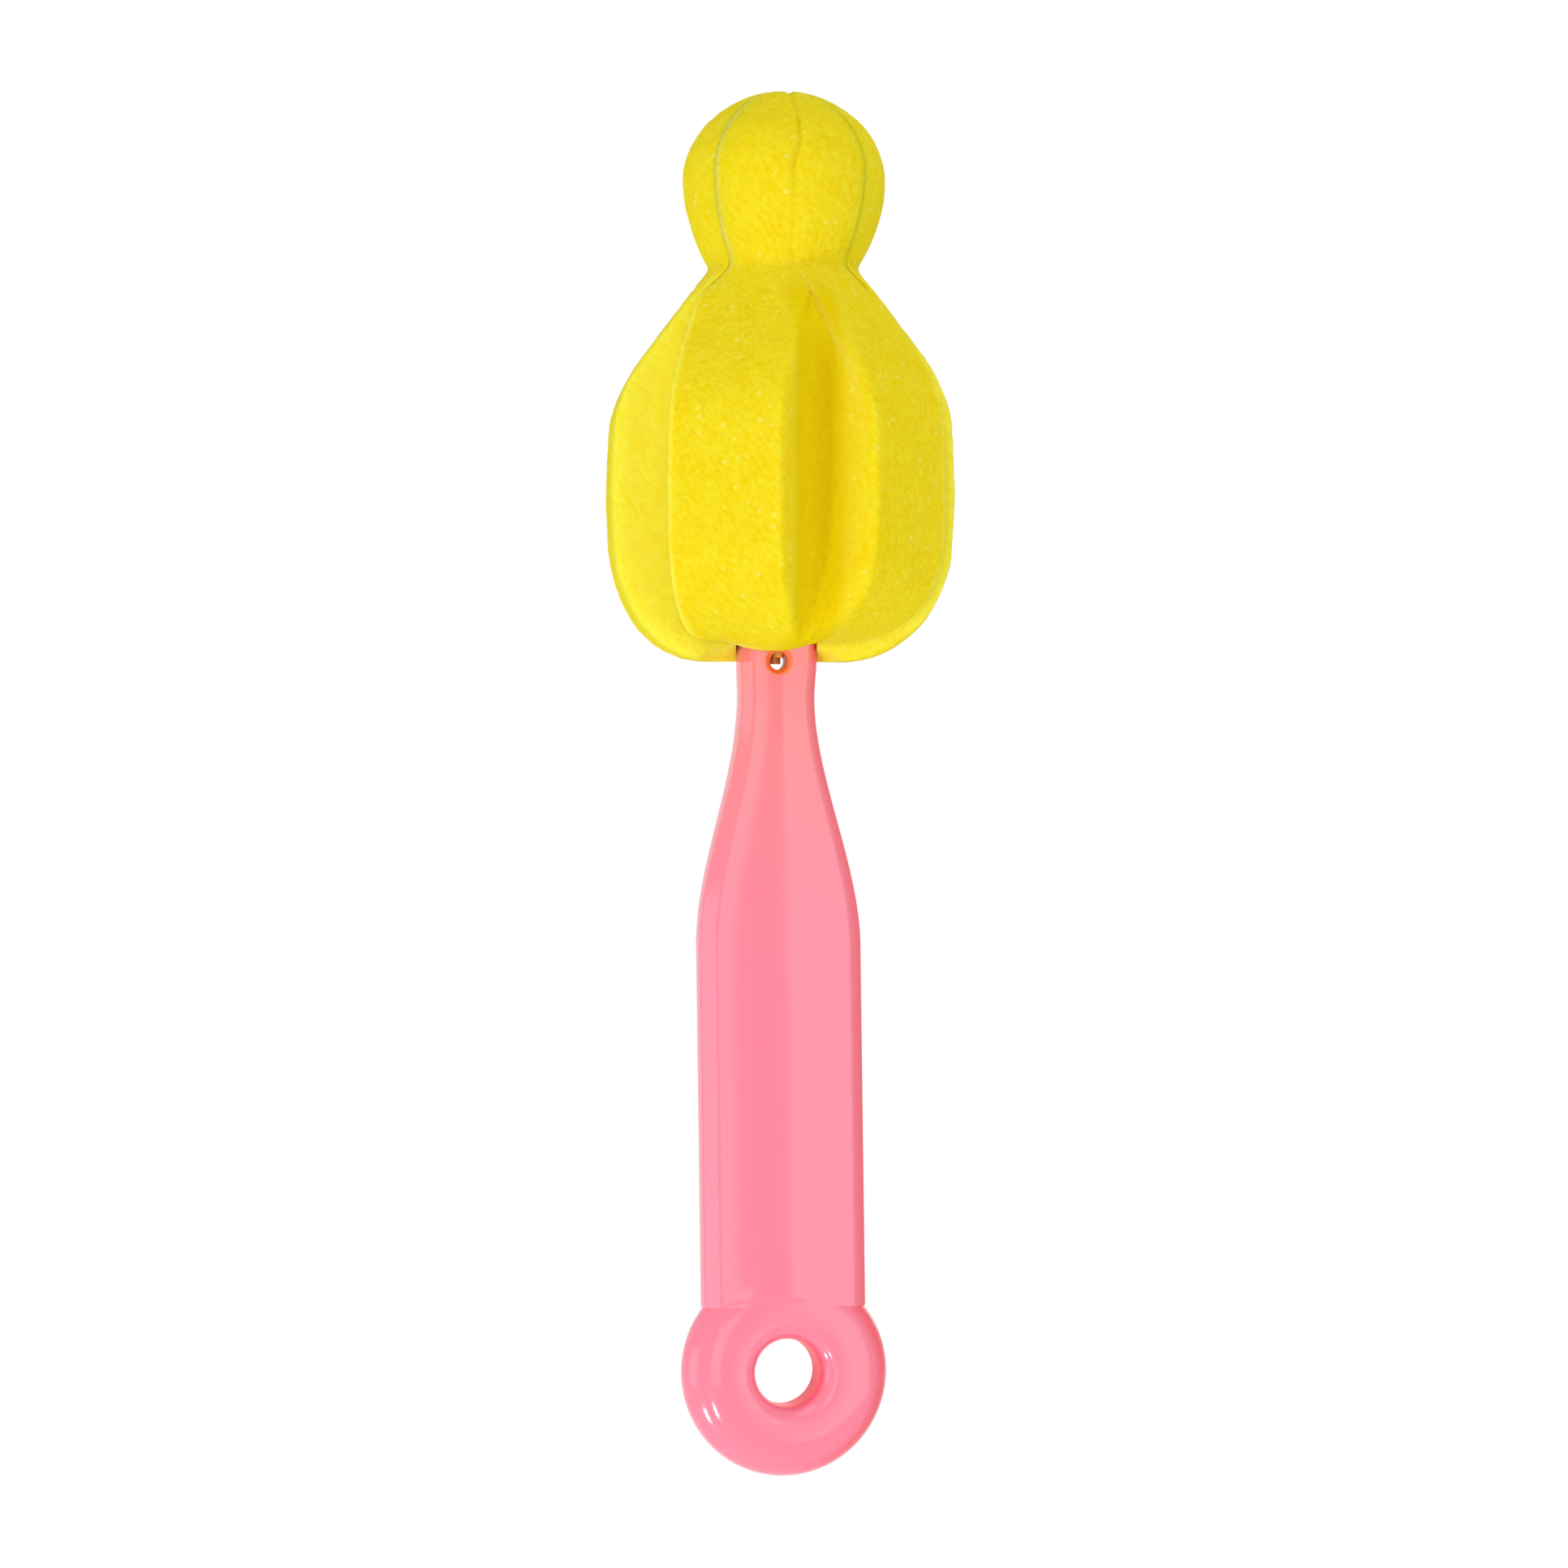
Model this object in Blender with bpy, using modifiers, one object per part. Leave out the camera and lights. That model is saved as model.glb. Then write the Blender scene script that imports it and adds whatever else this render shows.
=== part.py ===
"""A small bottle brush: a moulded handle, and three foam slabs pinched by a bent wire.

Metres, +Z up along the handle towards the foam, front towards -Y. The origin is the centre of the
hanging hole in the handle's ring.
"""

import math

import bmesh
import bpy
from mathutils import Vector

OBJECT_NAME = "bottle_brush"

MIDWAY_SHARE = 0.5

# Clearances
SEAT_GAP = 0.0003
CUT_OVERRUN = 0.002
MERGE_DISTANCE = 0.00001

# Hanging ring, turned about the Y axis
HANGING_HOLE_RADIUS = 0.0041
HOLE_FLARE_RADIUS = 0.0022
RING_FACE_WIDTH = 0.0028
RING_THICKNESS = 0.0076
RING_STEPS = 56
RING_ROUND_STEPS = 10
RING_FLARE_STEPS = 4

# Grip, a crowned flat bar whose end stands in the ring, clear of the hole's flare. Its length and
# the shoulder's are taken one after the other, up from the hole's centre
GRIP_WIDTH = 0.0204
GRIP_THICKNESS = 0.0074
GRIP_EDGE_THICKNESS = 0.0058
GRIP_CHAMFER = 0.0017
GRIP_END_LAND = 0.0016
GRIP_LENGTH = 0.0523
SHOULDER_LENGTH = 0.0309

# Neck and the stub that stands in the foam
NECK_LENGTH = 0.0042
NECK_WIDTH = 0.0092
NECK_TOP_WIDTH = 0.0096
NECK_THICKNESS = 0.0064
NECK_EDGE_THICKNESS = 0.0054
NECK_CHAMFER = 0.0012
STUB_TIP_WIDTH = 0.0086
STUB_LENGTH = 0.0136
CROWN_STEPS = 8
SHOULDER_STEPS = 14

# Cross hole through the neck, just below the front foam
VENT_RADIUS = 0.00125
VENT_COUNTERSINK = 0.0003
VENT_STEPS = 24
BORE_STEPS = 24

# Foam slabs and their die cut outline: each rise is the height above the level before it, and each
# radius the slabs' half width, out to the flat of a lobe's face
FOAM_THICKNESS = 0.0146
BULB_LOBE_THICKNESS = 0.0184
FRONT_FOAM_LIFT = 0.0012
FOAM_FLAT_RADIUS = 0.0088
BODY_CORNER_RISE = 0.0156
BODY_WIDE_RISE = 0.0054
BODY_RADIUS = 0.0211
BODY_BULGE_RADIUS = 0.096
SLOPE_BASE_RISE = 0.013
SLOPE_BASE_RADIUS = 0.0193
PINCH_RISE = 0.0142
PINCH_RADIUS = 0.0094
PINCH_REACH_BELOW = 0.005
PINCH_REACH_ABOVE = 0.002
BULB_RISE = 0.0113
BULB_RADIUS = 0.01245
BULB_LOWER_REACH = 0.017
BULB_UPPER_REACH = 0.0107
BULB_TOP_FLAT_RADIUS = 0.0027
SLOPE_BLEND = 0.003
PINCH_BLEND = 0.0009
CREASE_ROUND = 0.0015
BULB_CREASE_ROUND = 0.0005
FOLD_FILL = 0.0024
GROOVE_EDGE_BLEND = 0.0044
OUTER_EDGE_BLEND = 0.0014
BODY_FLAT_SHARE = 0.85
BULB_FLAT_SHARE = 0.35

# Directions in plan, from the front towards +X. A folded slab's lobes stand in a V, and the straight
# middle slab between the two folded ones lies turned a little, so the gaps beside it differ
FOLDED_LOBE_ANGLE = math.radians(32.5)
MIDDLE_LOBE_ANGLE = math.radians(81)
FACE_SHARES = (0.4, 0.72, 0.9, 1.0)
WALL_SHARES = (0.22, 0.6)
WIDEST_FACE_SHARE = 0.84
FOAM_SECTIONS = 34
OUTLINE_SAMPLES = 400

# Wire hairpin
WIRE_DIAMETER = 0.0014
LEG_OFFSET = 0.0026
BORE_LEG_OFFSET = 0.00085
WIRE_CONVERGE_LENGTH = 0.007
WIRE_TOP_SINK = 0.0014
WIRE_END_PEEK = 0.00035
WIRE_BEND_STEPS = 12
WIRE_CONVERGE_STEPS = 8
WIRE_LEG_STEPS = 6
PINCH_SLOT_WIDTH = 0.0009
WEB_THICKNESS = 0.0009

# Worked out from the sizes above
RING_HALF = RING_THICKNESS / 2
FLARE_MOUTH_RADIUS = HANGING_HOLE_RADIUS + HOLE_FLARE_RADIUS
RING_ROUND_CENTRE = FLARE_MOUTH_RADIUS + RING_FACE_WIDTH
GRIP_END_HEIGHT = FLARE_MOUTH_RADIUS + GRIP_END_LAND
SHOULDER_START = GRIP_LENGTH
SHOULDER_END = SHOULDER_START + SHOULDER_LENGTH
FOAM_BOTTOM = SHOULDER_END + NECK_LENGTH
BODY_CORNER_HEIGHT = FOAM_BOTTOM + BODY_CORNER_RISE
BODY_WIDE_HEIGHT = BODY_CORNER_HEIGHT + BODY_WIDE_RISE
SLOPE_BASE_HEIGHT = BODY_WIDE_HEIGHT + SLOPE_BASE_RISE
PINCH_HEIGHT = SLOPE_BASE_HEIGHT + PINCH_RISE
BULB_HEIGHT = PINCH_HEIGHT + BULB_RISE
STUB_TOP = FOAM_BOTTOM + STUB_LENGTH
VENT_HEIGHT = FOAM_BOTTOM
WIRE_RADIUS = WIRE_DIAMETER / 2
CHANNEL_RADIUS = WIRE_RADIUS + SEAT_GAP
BORE_RADIUS = BORE_LEG_OFFSET + CHANNEL_RADIUS
BORE_BOTTOM = VENT_HEIGHT + VENT_RADIUS * math.sin(math.radians(45))
FOAM_TOP = BULB_HEIGHT + BULB_UPPER_REACH
WIRE_BEND_HEIGHT = FOAM_TOP - WIRE_TOP_SINK - LEG_OFFSET
SPREAD_END = STUB_TOP + WIRE_CONVERGE_LENGTH
RIGHT_CREASE_ANGLE = (MIDDLE_LOBE_ANGLE + FOLDED_LOBE_ANGLE) / 2
LEFT_CREASE_ANGLE = (MIDDLE_LOBE_ANGLE - math.pi - FOLDED_LOBE_ANGLE) / 2

PINK = (1.0, 0.22, 0.32, 1.0)
YELLOW = (0.93, 0.78, 0.04, 1.0)
STEEL = (0.62, 0.62, 0.6, 1.0)


def clear_scene():
    for obj in list(bpy.data.objects):
        bpy.data.objects.remove(obj, do_unlink=True)


def new_collection(name, is_rendered):
    collection = bpy.data.collections.new(name)
    collection.hide_render = not is_rendered
    bpy.context.scene.collection.children.link(collection)
    return collection


def new_material(name, colour, roughness, metallic):
    material = bpy.data.materials.new(name)
    material.use_nodes = True
    shader = material.node_tree.nodes["Principled BSDF"]
    shader.inputs["Base Color"].default_value = colour
    shader.inputs["Roughness"].default_value = roughness
    shader.inputs["Metallic"].default_value = metallic
    return material


def new_object(name, data, collection):
    obj = bpy.data.objects.new(name, data)
    collection.objects.link(obj)
    if collection.hide_render:
        obj.hide_render = True
        obj.display_type = "WIRE"
    return obj


def finish_part(obj, material, sharp_angle):
    obj.data.materials.clear()
    obj.data.materials.append(material)
    obj.data.shade_smooth()
    obj.data.set_sharp_from_angle(angle=sharp_angle)


def loft(name, sections, collection):
    """A closed solid through outlines of equal point count, from the lowest to the highest."""
    bm = bmesh.new()
    rings = [[bm.verts.new(point) for point in section] for section in sections]
    count = len(rings[0])
    for low, high in zip(rings, rings[1:]):
        for i in range(count):
            j = (i + 1) % count
            bm.faces.new((low[i], low[j], high[j], high[i]))
    bm.faces.new(reversed(rings[0]))
    bm.faces.new(rings[-1])
    mesh = bpy.data.meshes.new(name)
    bm.to_mesh(mesh)
    bm.free()
    return new_object(name, mesh, collection)


def turned_solid(name, profile, steps, collection):
    """A closed profile of (radius, height) points, turned about Z, then laid over with its axis on Y."""
    mesh = bpy.data.meshes.new(name)
    edges = [(i, (i + 1) % len(profile)) for i in range(len(profile))]
    mesh.from_pydata([(radius, 0, height) for radius, height in profile], edges, [])
    obj = new_object(name, mesh, collection)
    obj.rotation_euler = (math.radians(90), 0, 0)
    screw = obj.modifiers.new("Turn", "SCREW")
    screw.steps = steps
    screw.render_steps = steps
    screw.use_merge_vertices = True
    screw.merge_threshold = MERGE_DISTANCE
    return obj


def solid_cylinder(name, radius, bottom, top, steps, collection):
    bm = bmesh.new()
    bmesh.ops.create_cone(
        bm, cap_ends=True, segments=steps, radius1=radius, radius2=radius, depth=top - bottom
    )
    mesh = bpy.data.meshes.new(name)
    bm.to_mesh(mesh)
    bm.free()
    obj = new_object(name, mesh, collection)
    obj.location = (0, 0, (bottom + top) / 2)
    return obj


def mesh_from_curve(curve_object, collection):
    """The same shape as a mesh with its caps welded on, in the curve's place."""
    bpy.context.view_layer.update()
    graph = bpy.context.evaluated_depsgraph_get()
    name = curve_object.name
    mesh = bpy.data.meshes.new_from_object(curve_object.evaluated_get(graph))
    place = curve_object.matrix_world.copy()
    bpy.data.objects.remove(curve_object, do_unlink=True)
    bm = bmesh.new()
    bm.from_mesh(mesh)
    bmesh.ops.remove_doubles(bm, verts=bm.verts, dist=MERGE_DISTANCE)
    bmesh.ops.recalc_face_normals(bm, faces=bm.faces)
    bm.to_mesh(mesh)
    bm.free()
    obj = new_object(name, mesh, collection)
    obj.name = name
    obj.matrix_world = place
    return obj


def poly_tube(name, points, radius, collection):
    curve = bpy.data.curves.new(name, "CURVE")
    curve.dimensions = "3D"
    curve.bevel_depth = radius
    curve.bevel_resolution = 2
    curve.use_fill_caps = True
    spline = curve.splines.new("POLY")
    spline.points.add(len(points) - 1)
    for target, point in zip(spline.points, points):
        target.co = (*point, 1.0)
    return mesh_from_curve(new_object(name, curve, collection), collection)


def upright_plate(name, outline, thickness, collection):
    """A plate in the YZ plane from an outline of (y, z) points, centred on X = 0."""
    curve = bpy.data.curves.new(name, "CURVE")
    curve.dimensions = "2D"
    curve.fill_mode = "BOTH"
    curve.extrude = thickness / 2
    spline = curve.splines.new("POLY")
    spline.points.add(len(outline) - 1)
    for target, (y, z) in zip(spline.points, outline):
        target.co = (y, z, 0, 1.0)
    spline.use_cyclic_u = True
    obj = new_object(name, curve, collection)
    obj.rotation_euler = (math.radians(90), 0, math.radians(90))
    return mesh_from_curve(obj, collection)


def add_boolean(obj, operation, other):
    boolean = obj.modifiers.new(other.name, "BOOLEAN")
    boolean.operation = operation
    boolean.solver = "EXACT"
    boolean.object = other


def smooth_step(share):
    share = min(max(share, 0), 1)
    return share * share * (3 - 2 * share)


def mix(start, end, share):
    return start + (end - start) * share


def soft_min(a, b, blend):
    reach = max(blend - abs(a - b), 0) / blend
    return min(a, b) - reach * reach * blend / 4


def soft_max(a, b, blend):
    return -soft_min(-a, -b, blend)


def bar_sizes(height):
    """Half width, half thickness at the crown and at the edge, and chamfer of the handle's bar."""
    share = smooth_step((height - SHOULDER_START) / SHOULDER_LENGTH)
    neck_share = (height - SHOULDER_END) / NECK_LENGTH
    neck_width = mix(NECK_WIDTH, NECK_TOP_WIDTH, smooth_step(neck_share))
    stub_share = (height - FOAM_BOTTOM) / STUB_LENGTH
    neck_width = mix(neck_width, STUB_TIP_WIDTH, smooth_step(stub_share))
    half_width = mix(GRIP_WIDTH, neck_width, share) / 2
    crown = mix(GRIP_THICKNESS, NECK_THICKNESS, share) / 2
    edge = mix(GRIP_EDGE_THICKNESS, NECK_EDGE_THICKNESS, share) / 2
    chamfer = mix(GRIP_CHAMFER, NECK_CHAMFER, share)
    return half_width, crown, edge, chamfer


def bar_section(height, extra=0.0):
    """The bar's outline at a height, anticlockwise from above, grown by extra on every side."""
    half_width, crown, edge, chamfer = bar_sizes(height)
    face_half = half_width - chamfer
    face = []
    for i in range(CROWN_STEPS + 1):
        x = mix(face_half, -face_half, i / CROWN_STEPS)
        fall = (crown - edge) * (x / face_half) ** 2
        face.append((x, crown - fall + extra))
    back = [(half_width + extra, edge - chamfer)] + face + [(-half_width - extra, edge - chamfer)]
    front = [(-x, -y) for x, y in back]
    return [Vector((x, y, height)) for x, y in back + front]


def ring_profile():
    """One closed loop of (radius, height) points: down the outer round, then up through the hole."""
    points = []
    for i in range(RING_ROUND_STEPS + 1):
        turn = math.radians(90 - 180 * i / RING_ROUND_STEPS)
        points.append((RING_ROUND_CENTRE + RING_HALF * math.cos(turn), RING_HALF * math.sin(turn)))
    land_half = RING_HALF - HOLE_FLARE_RADIUS
    for side in (-1, 1):
        for i in range(RING_FLARE_STEPS + 1):
            share = i / RING_FLARE_STEPS
            turn = math.radians(90 * (share if side < 0 else 1 - share))
            radius = FLARE_MOUTH_RADIUS - HOLE_FLARE_RADIUS * math.sin(turn)
            height = side * (land_half + HOLE_FLARE_RADIUS * math.cos(turn))
            points.append((radius, height))
    return points


def vent_profile():
    """The cross hole's cutter, widened at both faces of the neck and closed on its axis."""
    face = NECK_THICKNESS / 2
    reach = face + CUT_OVERRUN
    wide = VENT_RADIUS + VENT_COUNTERSINK
    side = [(wide + CUT_OVERRUN, reach), (wide, face), (VENT_RADIUS, face - VENT_COUNTERSINK)]
    lower = [(radius, -height) for radius, height in reversed(side)]
    return [(0, reach)] + side + lower + [(0, -reach)]


def make_handle(parts, cutters, material):
    heights = [GRIP_END_HEIGHT, SHOULDER_START]
    for i in range(1, SHOULDER_STEPS + 1):
        heights.append(mix(SHOULDER_START, SHOULDER_END, i / SHOULDER_STEPS))
    heights += [mix(SHOULDER_END, FOAM_BOTTOM, MIDWAY_SHARE), FOAM_BOTTOM]
    heights += [mix(FOAM_BOTTOM, STUB_TOP, MIDWAY_SHARE), STUB_TOP]
    handle = loft("handle", [bar_section(height) for height in heights], parts)
    add_boolean(handle, "UNION", turned_solid("ring_blank", ring_profile(), RING_STEPS, cutters))
    add_boolean(handle, "DIFFERENCE", vent_cutter(cutters))
    bore = solid_cylinder(
        "bore_cutter", BORE_RADIUS, BORE_BOTTOM, STUB_TOP + CUT_OVERRUN, BORE_STEPS, cutters
    )
    add_boolean(handle, "DIFFERENCE", bore)
    finish_part(handle, material, math.radians(32))
    return handle


def vent_cutter(cutters):
    cutter = turned_solid("vent_cutter", vent_profile(), VENT_STEPS, cutters)
    cutter.location = (0, 0, VENT_HEIGHT)
    return cutter


def spread_points():
    """Where a leg leaves the bore and spreads to its crease, as (offset from the axis, height)."""
    points = []
    for i in range(WIRE_CONVERGE_STEPS + 1):
        share = i / WIRE_CONVERGE_STEPS
        offset = mix(BORE_LEG_OFFSET, LEG_OFFSET, smooth_step(share))
        points.append((offset, mix(STUB_TOP, SPREAD_END, share)))
    return points


def hairpin_points(lower_leg):
    """The wire's centre line in the plane X = 0: up the front leg, over the bend, down the rear leg."""
    leg = list(lower_leg)
    straight_start = lower_leg[-1][1]
    for i in range(1, WIRE_LEG_STEPS + 1):
        leg.append((LEG_OFFSET, mix(straight_start, WIRE_BEND_HEIGHT, i / WIRE_LEG_STEPS)))
    bend = []
    for i in range(1, WIRE_BEND_STEPS):
        turn = math.pi * i / WIRE_BEND_STEPS
        bend.append((-LEG_OFFSET * math.cos(turn), WIRE_BEND_HEIGHT + LEG_OFFSET * math.sin(turn)))
    route = [(-y, z) for y, z in leg] + bend + [(y, z) for y, z in reversed(leg)]
    return [Vector((0, y, z)) for y, z in route]


def outline_radius(height, bottom):
    """The die cut outline: the foam's half width at a height."""
    up = (height - BULB_HEIGHT) / BULB_UPPER_REACH
    down = (BULB_HEIGHT - height) / BULB_LOWER_REACH
    bulb = BULB_RADIUS * math.sqrt(max(1 - max(up, down) ** 2, 0))
    slope = (SLOPE_BASE_RADIUS - PINCH_RADIUS) / PINCH_RISE
    shoulder = PINCH_RADIUS + (PINCH_HEIGHT - height) * slope
    from_widest = max(height, BODY_CORNER_HEIGHT) - BODY_WIDE_HEIGHT
    flank = BODY_RADIUS - from_widest**2 / (2 * BODY_BULGE_RADIUS)
    drop = max(BODY_CORNER_HEIGHT - height, 0) / (BODY_CORNER_HEIGHT - bottom)
    flank = FOAM_FLAT_RADIUS + (flank - FOAM_FLAT_RADIUS) * math.sqrt(max(1 - drop * drop, 0))
    return soft_max(bulb, soft_min(shoulder, flank, SLOPE_BLEND), PINCH_BLEND)


def outline_stations(bottom):
    """Heights that step evenly along the outline, from the flat bottom to the bulb's small top flat."""
    rise = math.sqrt(1 - (BULB_TOP_FLAT_RADIUS / BULB_RADIUS) ** 2)
    top = BULB_HEIGHT + BULB_UPPER_REACH * rise
    fine = []
    for i in range(OUTLINE_SAMPLES + 1):
        height = mix(bottom, top, (1 - math.cos(math.pi * i / OUTLINE_SAMPLES)) / 2)
        fine.append(Vector((outline_radius(height, bottom), height)))
    lengths = [0]
    for previous, point in zip(fine, fine[1:]):
        lengths.append(lengths[-1] + (point - previous).length)
    stations = []
    k = 0
    for i in range(FOAM_SECTIONS):
        wanted = lengths[-1] * i / (FOAM_SECTIONS - 1)
        while k < len(fine) - 2 and lengths[k + 1] < wanted:
            k += 1
        share = (wanted - lengths[k]) / (lengths[k + 1] - lengths[k])
        stations.append(fine[k].y + (fine[k + 1].y - fine[k].y) * share)
    return stations


def bulb_share(height):
    """0 on the body and 1 on the bulb, with the change at the pinched neck."""
    above_start = height - PINCH_HEIGHT + PINCH_REACH_BELOW
    return smooth_step(above_start / (PINCH_REACH_BELOW + PINCH_REACH_ABOVE))


def lobe_half_thickness(height):
    return mix(FOAM_THICKNESS, BULB_LOBE_THICKNESS, bulb_share(height)) / 2


def lobe_radius(height, outline, offset, spacing, is_fold):
    """Distance from the axis to a lobe's surface, at an angle from the lobe's own direction.

    The die cut face ends at the slab's thickness, and its side wall runs in to the crease. There two
    slabs press round on each other, while a folded slab's own valley is filled by the bent foam.
    """
    share = bulb_share(height)
    radius = outline * (1 + mix(BODY_FLAT_SHARE, BULB_FLAT_SHARE, share) * (1 / math.cos(offset) - 1))
    if offset > 0:
        edge_blend = GROOVE_EDGE_BLEND if is_fold else OUTER_EDGE_BLEND
        radius = soft_min(radius, lobe_half_thickness(height) / math.sin(offset), edge_blend)
    to_crease = radius * (spacing - offset)
    rounding = mix(CREASE_ROUND, BULB_CREASE_ROUND, share)
    inside = max(rounding - to_crease, 0)
    rounded = radius - rounding + math.sqrt(rounding**2 - inside**2)
    if not is_fold:
        return rounded
    filled = radius + max(FOLD_FILL - to_crease, 0) ** 2 / (2 * FOLD_FILL * math.tan(spacing))
    return mix(filled, rounded, share)


def lobe_offsets(height, outline, spacing):
    """Angles from a lobe's direction out to its crease, with one kept on the lobe's edge."""
    edge = min(math.atan(lobe_half_thickness(height) / outline), WIDEST_FACE_SHARE * spacing)
    offsets = [share * edge for share in FACE_SHARES]
    offsets += [mix(edge, spacing, share) for share in WALL_SHARES]
    return offsets + [spacing]


def lobe_points(height, outline, direction, before, after, fold=None):
    """A lobe's outer face in plan, anticlockwise from above, from its crease before to the one after.

    It keeps off its neighbours at both creases, other than at its own slab's fold.
    """
    steps = [(-1, offset, before) for offset in reversed(lobe_offsets(height, outline, direction - before))]
    steps += [(1, 0, after)]
    steps += [(1, offset, after) for offset in lobe_offsets(height, outline, after - direction)]
    points = []
    for side, offset, crease in steps:
        is_fold = crease == fold
        radius = lobe_radius(height, outline, offset, side * (crease - direction), is_fold)
        angle = direction + side * offset
        point = radius * Vector((math.sin(angle), -math.cos(angle)))
        inward = -side * Vector((math.cos(crease), math.sin(crease)))
        if not is_fold:
            point += max(SEAT_GAP / 2 - point.dot(inward), 0) * inward
        points.append(point)
    return points


def crease_foot(crease, side, level):
    """Where a slab's crease plane meets a level over the web; side is 1 past the crease, else -1."""
    web_turn = MIDDLE_LOBE_ANGLE - math.radians(90)
    across = Vector((-math.sin(web_turn), math.cos(web_turn)))
    along = Vector((math.sin(crease), -math.cos(crease)))
    start = side * Vector((math.cos(crease), math.sin(crease))) * SEAT_GAP / 2
    return start + along * (level - start.dot(across)) / along.dot(across)


def front_section(height, bottom):
    """Plan of the front slab: two lobes folded in a V, joined by the web behind the wire."""
    outline = outline_radius(height, bottom)
    left = lobe_points(height, outline, -FOLDED_LOBE_ANGLE, LEFT_CREASE_ANGLE, 0, fold=0)
    right = lobe_points(height, outline, FOLDED_LOBE_ANGLE, 0, RIGHT_CREASE_ANGLE, fold=0)
    web = -(WEB_THICKNESS / 2 + SEAT_GAP)
    feet = [crease_foot(RIGHT_CREASE_ANGLE, -1, web), crease_foot(LEFT_CREASE_ANGLE, 1, web)]
    return [Vector((point.x, point.y, height)) for point in left + right[1:] + feet]


def back_section(height, bottom):
    return [Vector((-point.x, -point.y, height)) for point in front_section(height, bottom)]


def middle_section(height, bottom):
    """Plan of the middle slab: a lobe to each side, drawn in to the web at the axis."""
    outline = outline_radius(height, bottom)
    far_crease = LEFT_CREASE_ANGLE + math.pi
    lobe = lobe_points(height, outline, MIDDLE_LOBE_ANGLE, RIGHT_CREASE_ANGLE, far_crease)
    near_foot = crease_foot(RIGHT_CREASE_ANGLE, 1, -WEB_THICKNESS / 2)
    far_foot = crease_foot(far_crease, -1, WEB_THICKNESS / 2)
    half = [near_foot] + lobe + [far_foot]
    return [Vector((point.x, point.y, height)) for point in half + [-point for point in half]]


def make_foam(parts, cutters, material):
    channel_start = [(LEG_OFFSET, SPREAD_END - CHANNEL_RADIUS)]
    channel_route = hairpin_points(channel_start)
    channel = poly_tube("wire_channel_cutter", channel_route, CHANNEL_RADIUS, cutters)
    throat_side = [(offset + CHANNEL_RADIUS, height) for offset, height in spread_points()]
    throat_outline = throat_side + [(-y, z) for y, z in reversed(throat_side)]
    throat_width = 2 * CHANNEL_RADIUS + SEAT_GAP
    throat = upright_plate("throat_cutter", throat_outline, throat_width, cutters)
    slot_reach = LEG_OFFSET + CHANNEL_RADIUS
    slot_floor = WIRE_BEND_HEIGHT + LEG_OFFSET
    slot_top = FOAM_TOP + CUT_OVERRUN
    slot_outline = [
        (-slot_reach, slot_floor),
        (slot_reach, slot_floor),
        (slot_reach, slot_top),
        (-slot_reach, slot_top),
    ]
    slot = upright_plate("top_notch_cutter", slot_outline, PINCH_SLOT_WIDTH, cutters)
    pocket_heights = [SHOULDER_END, FOAM_BOTTOM, STUB_TOP + SEAT_GAP]
    pocket = loft("stub_pocket_cutter", [bar_section(z, SEAT_GAP) for z in pocket_heights], cutters)
    slabs = (
        ("front_foam", front_section, FOAM_BOTTOM + FRONT_FOAM_LIFT),
        ("middle_foam", middle_section, FOAM_BOTTOM),
        ("back_foam", back_section, FOAM_BOTTOM + FRONT_FOAM_LIFT),
    )
    for name, section, bottom in slabs:
        sections = [section(height, bottom) for height in outline_stations(bottom)]
        slab = loft(name, sections, parts)
        for cutter in (pocket, throat, channel, slot):
            add_boolean(slab, "DIFFERENCE", cutter)
        finish_part(slab, material, math.radians(35))


def make_wire(parts, material):
    lower_leg = [(BORE_LEG_OFFSET, BORE_BOTTOM - WIRE_END_PEEK)] + spread_points()
    wire = poly_tube("wire_hairpin", hairpin_points(lower_leg), WIRE_RADIUS, parts)
    finish_part(wire, material, math.radians(40))


def main():
    clear_scene()
    parts = new_collection(OBJECT_NAME, True)
    cutters = new_collection("cutters", False)
    make_handle(parts, cutters, new_material("pink_plastic", PINK, 0.28, 0.0))
    make_wire(parts, new_material("bright_wire", STEEL, 0.3, 1.0))
    make_foam(parts, cutters, new_material("yellow_foam", YELLOW, 0.9, 0.0))


main()
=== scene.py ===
import math

import bmesh
import bpy
import numpy as np
from mathutils import Matrix, Vector


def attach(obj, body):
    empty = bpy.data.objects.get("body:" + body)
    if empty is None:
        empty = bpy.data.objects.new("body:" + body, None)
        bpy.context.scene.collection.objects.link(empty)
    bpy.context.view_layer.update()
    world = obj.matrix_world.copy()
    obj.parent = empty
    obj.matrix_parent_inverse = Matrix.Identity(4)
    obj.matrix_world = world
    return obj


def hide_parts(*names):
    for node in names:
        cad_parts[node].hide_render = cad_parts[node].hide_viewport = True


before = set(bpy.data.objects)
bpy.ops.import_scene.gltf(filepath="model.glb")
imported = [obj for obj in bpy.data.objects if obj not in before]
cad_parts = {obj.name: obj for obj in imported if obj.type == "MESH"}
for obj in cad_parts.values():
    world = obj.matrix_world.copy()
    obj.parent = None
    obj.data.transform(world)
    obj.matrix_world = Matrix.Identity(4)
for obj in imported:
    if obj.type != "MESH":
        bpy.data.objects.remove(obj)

# The dressed bottle brush: moulded pink handle, bent wire and three pinched slabs of yellow foam.
# Metres, +Z up along the handle towards the foam, front towards -Y, origin in the hanging hole.

MM = 0.001
BODY = "root"

# Camera, from the photograph's view and frame
VIEW_AZIMUTH = math.radians(-14)
AIM_HEIGHT = 72.3 * MM
CAMERA_DISTANCE = 700 * MM
FRAME_WIDTH = 193.2 * MM
SENSOR_WIDTH = 36.0
FLOOR_HEIGHT = -550 * MM
FLOOR_SIZE = 8.0

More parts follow.
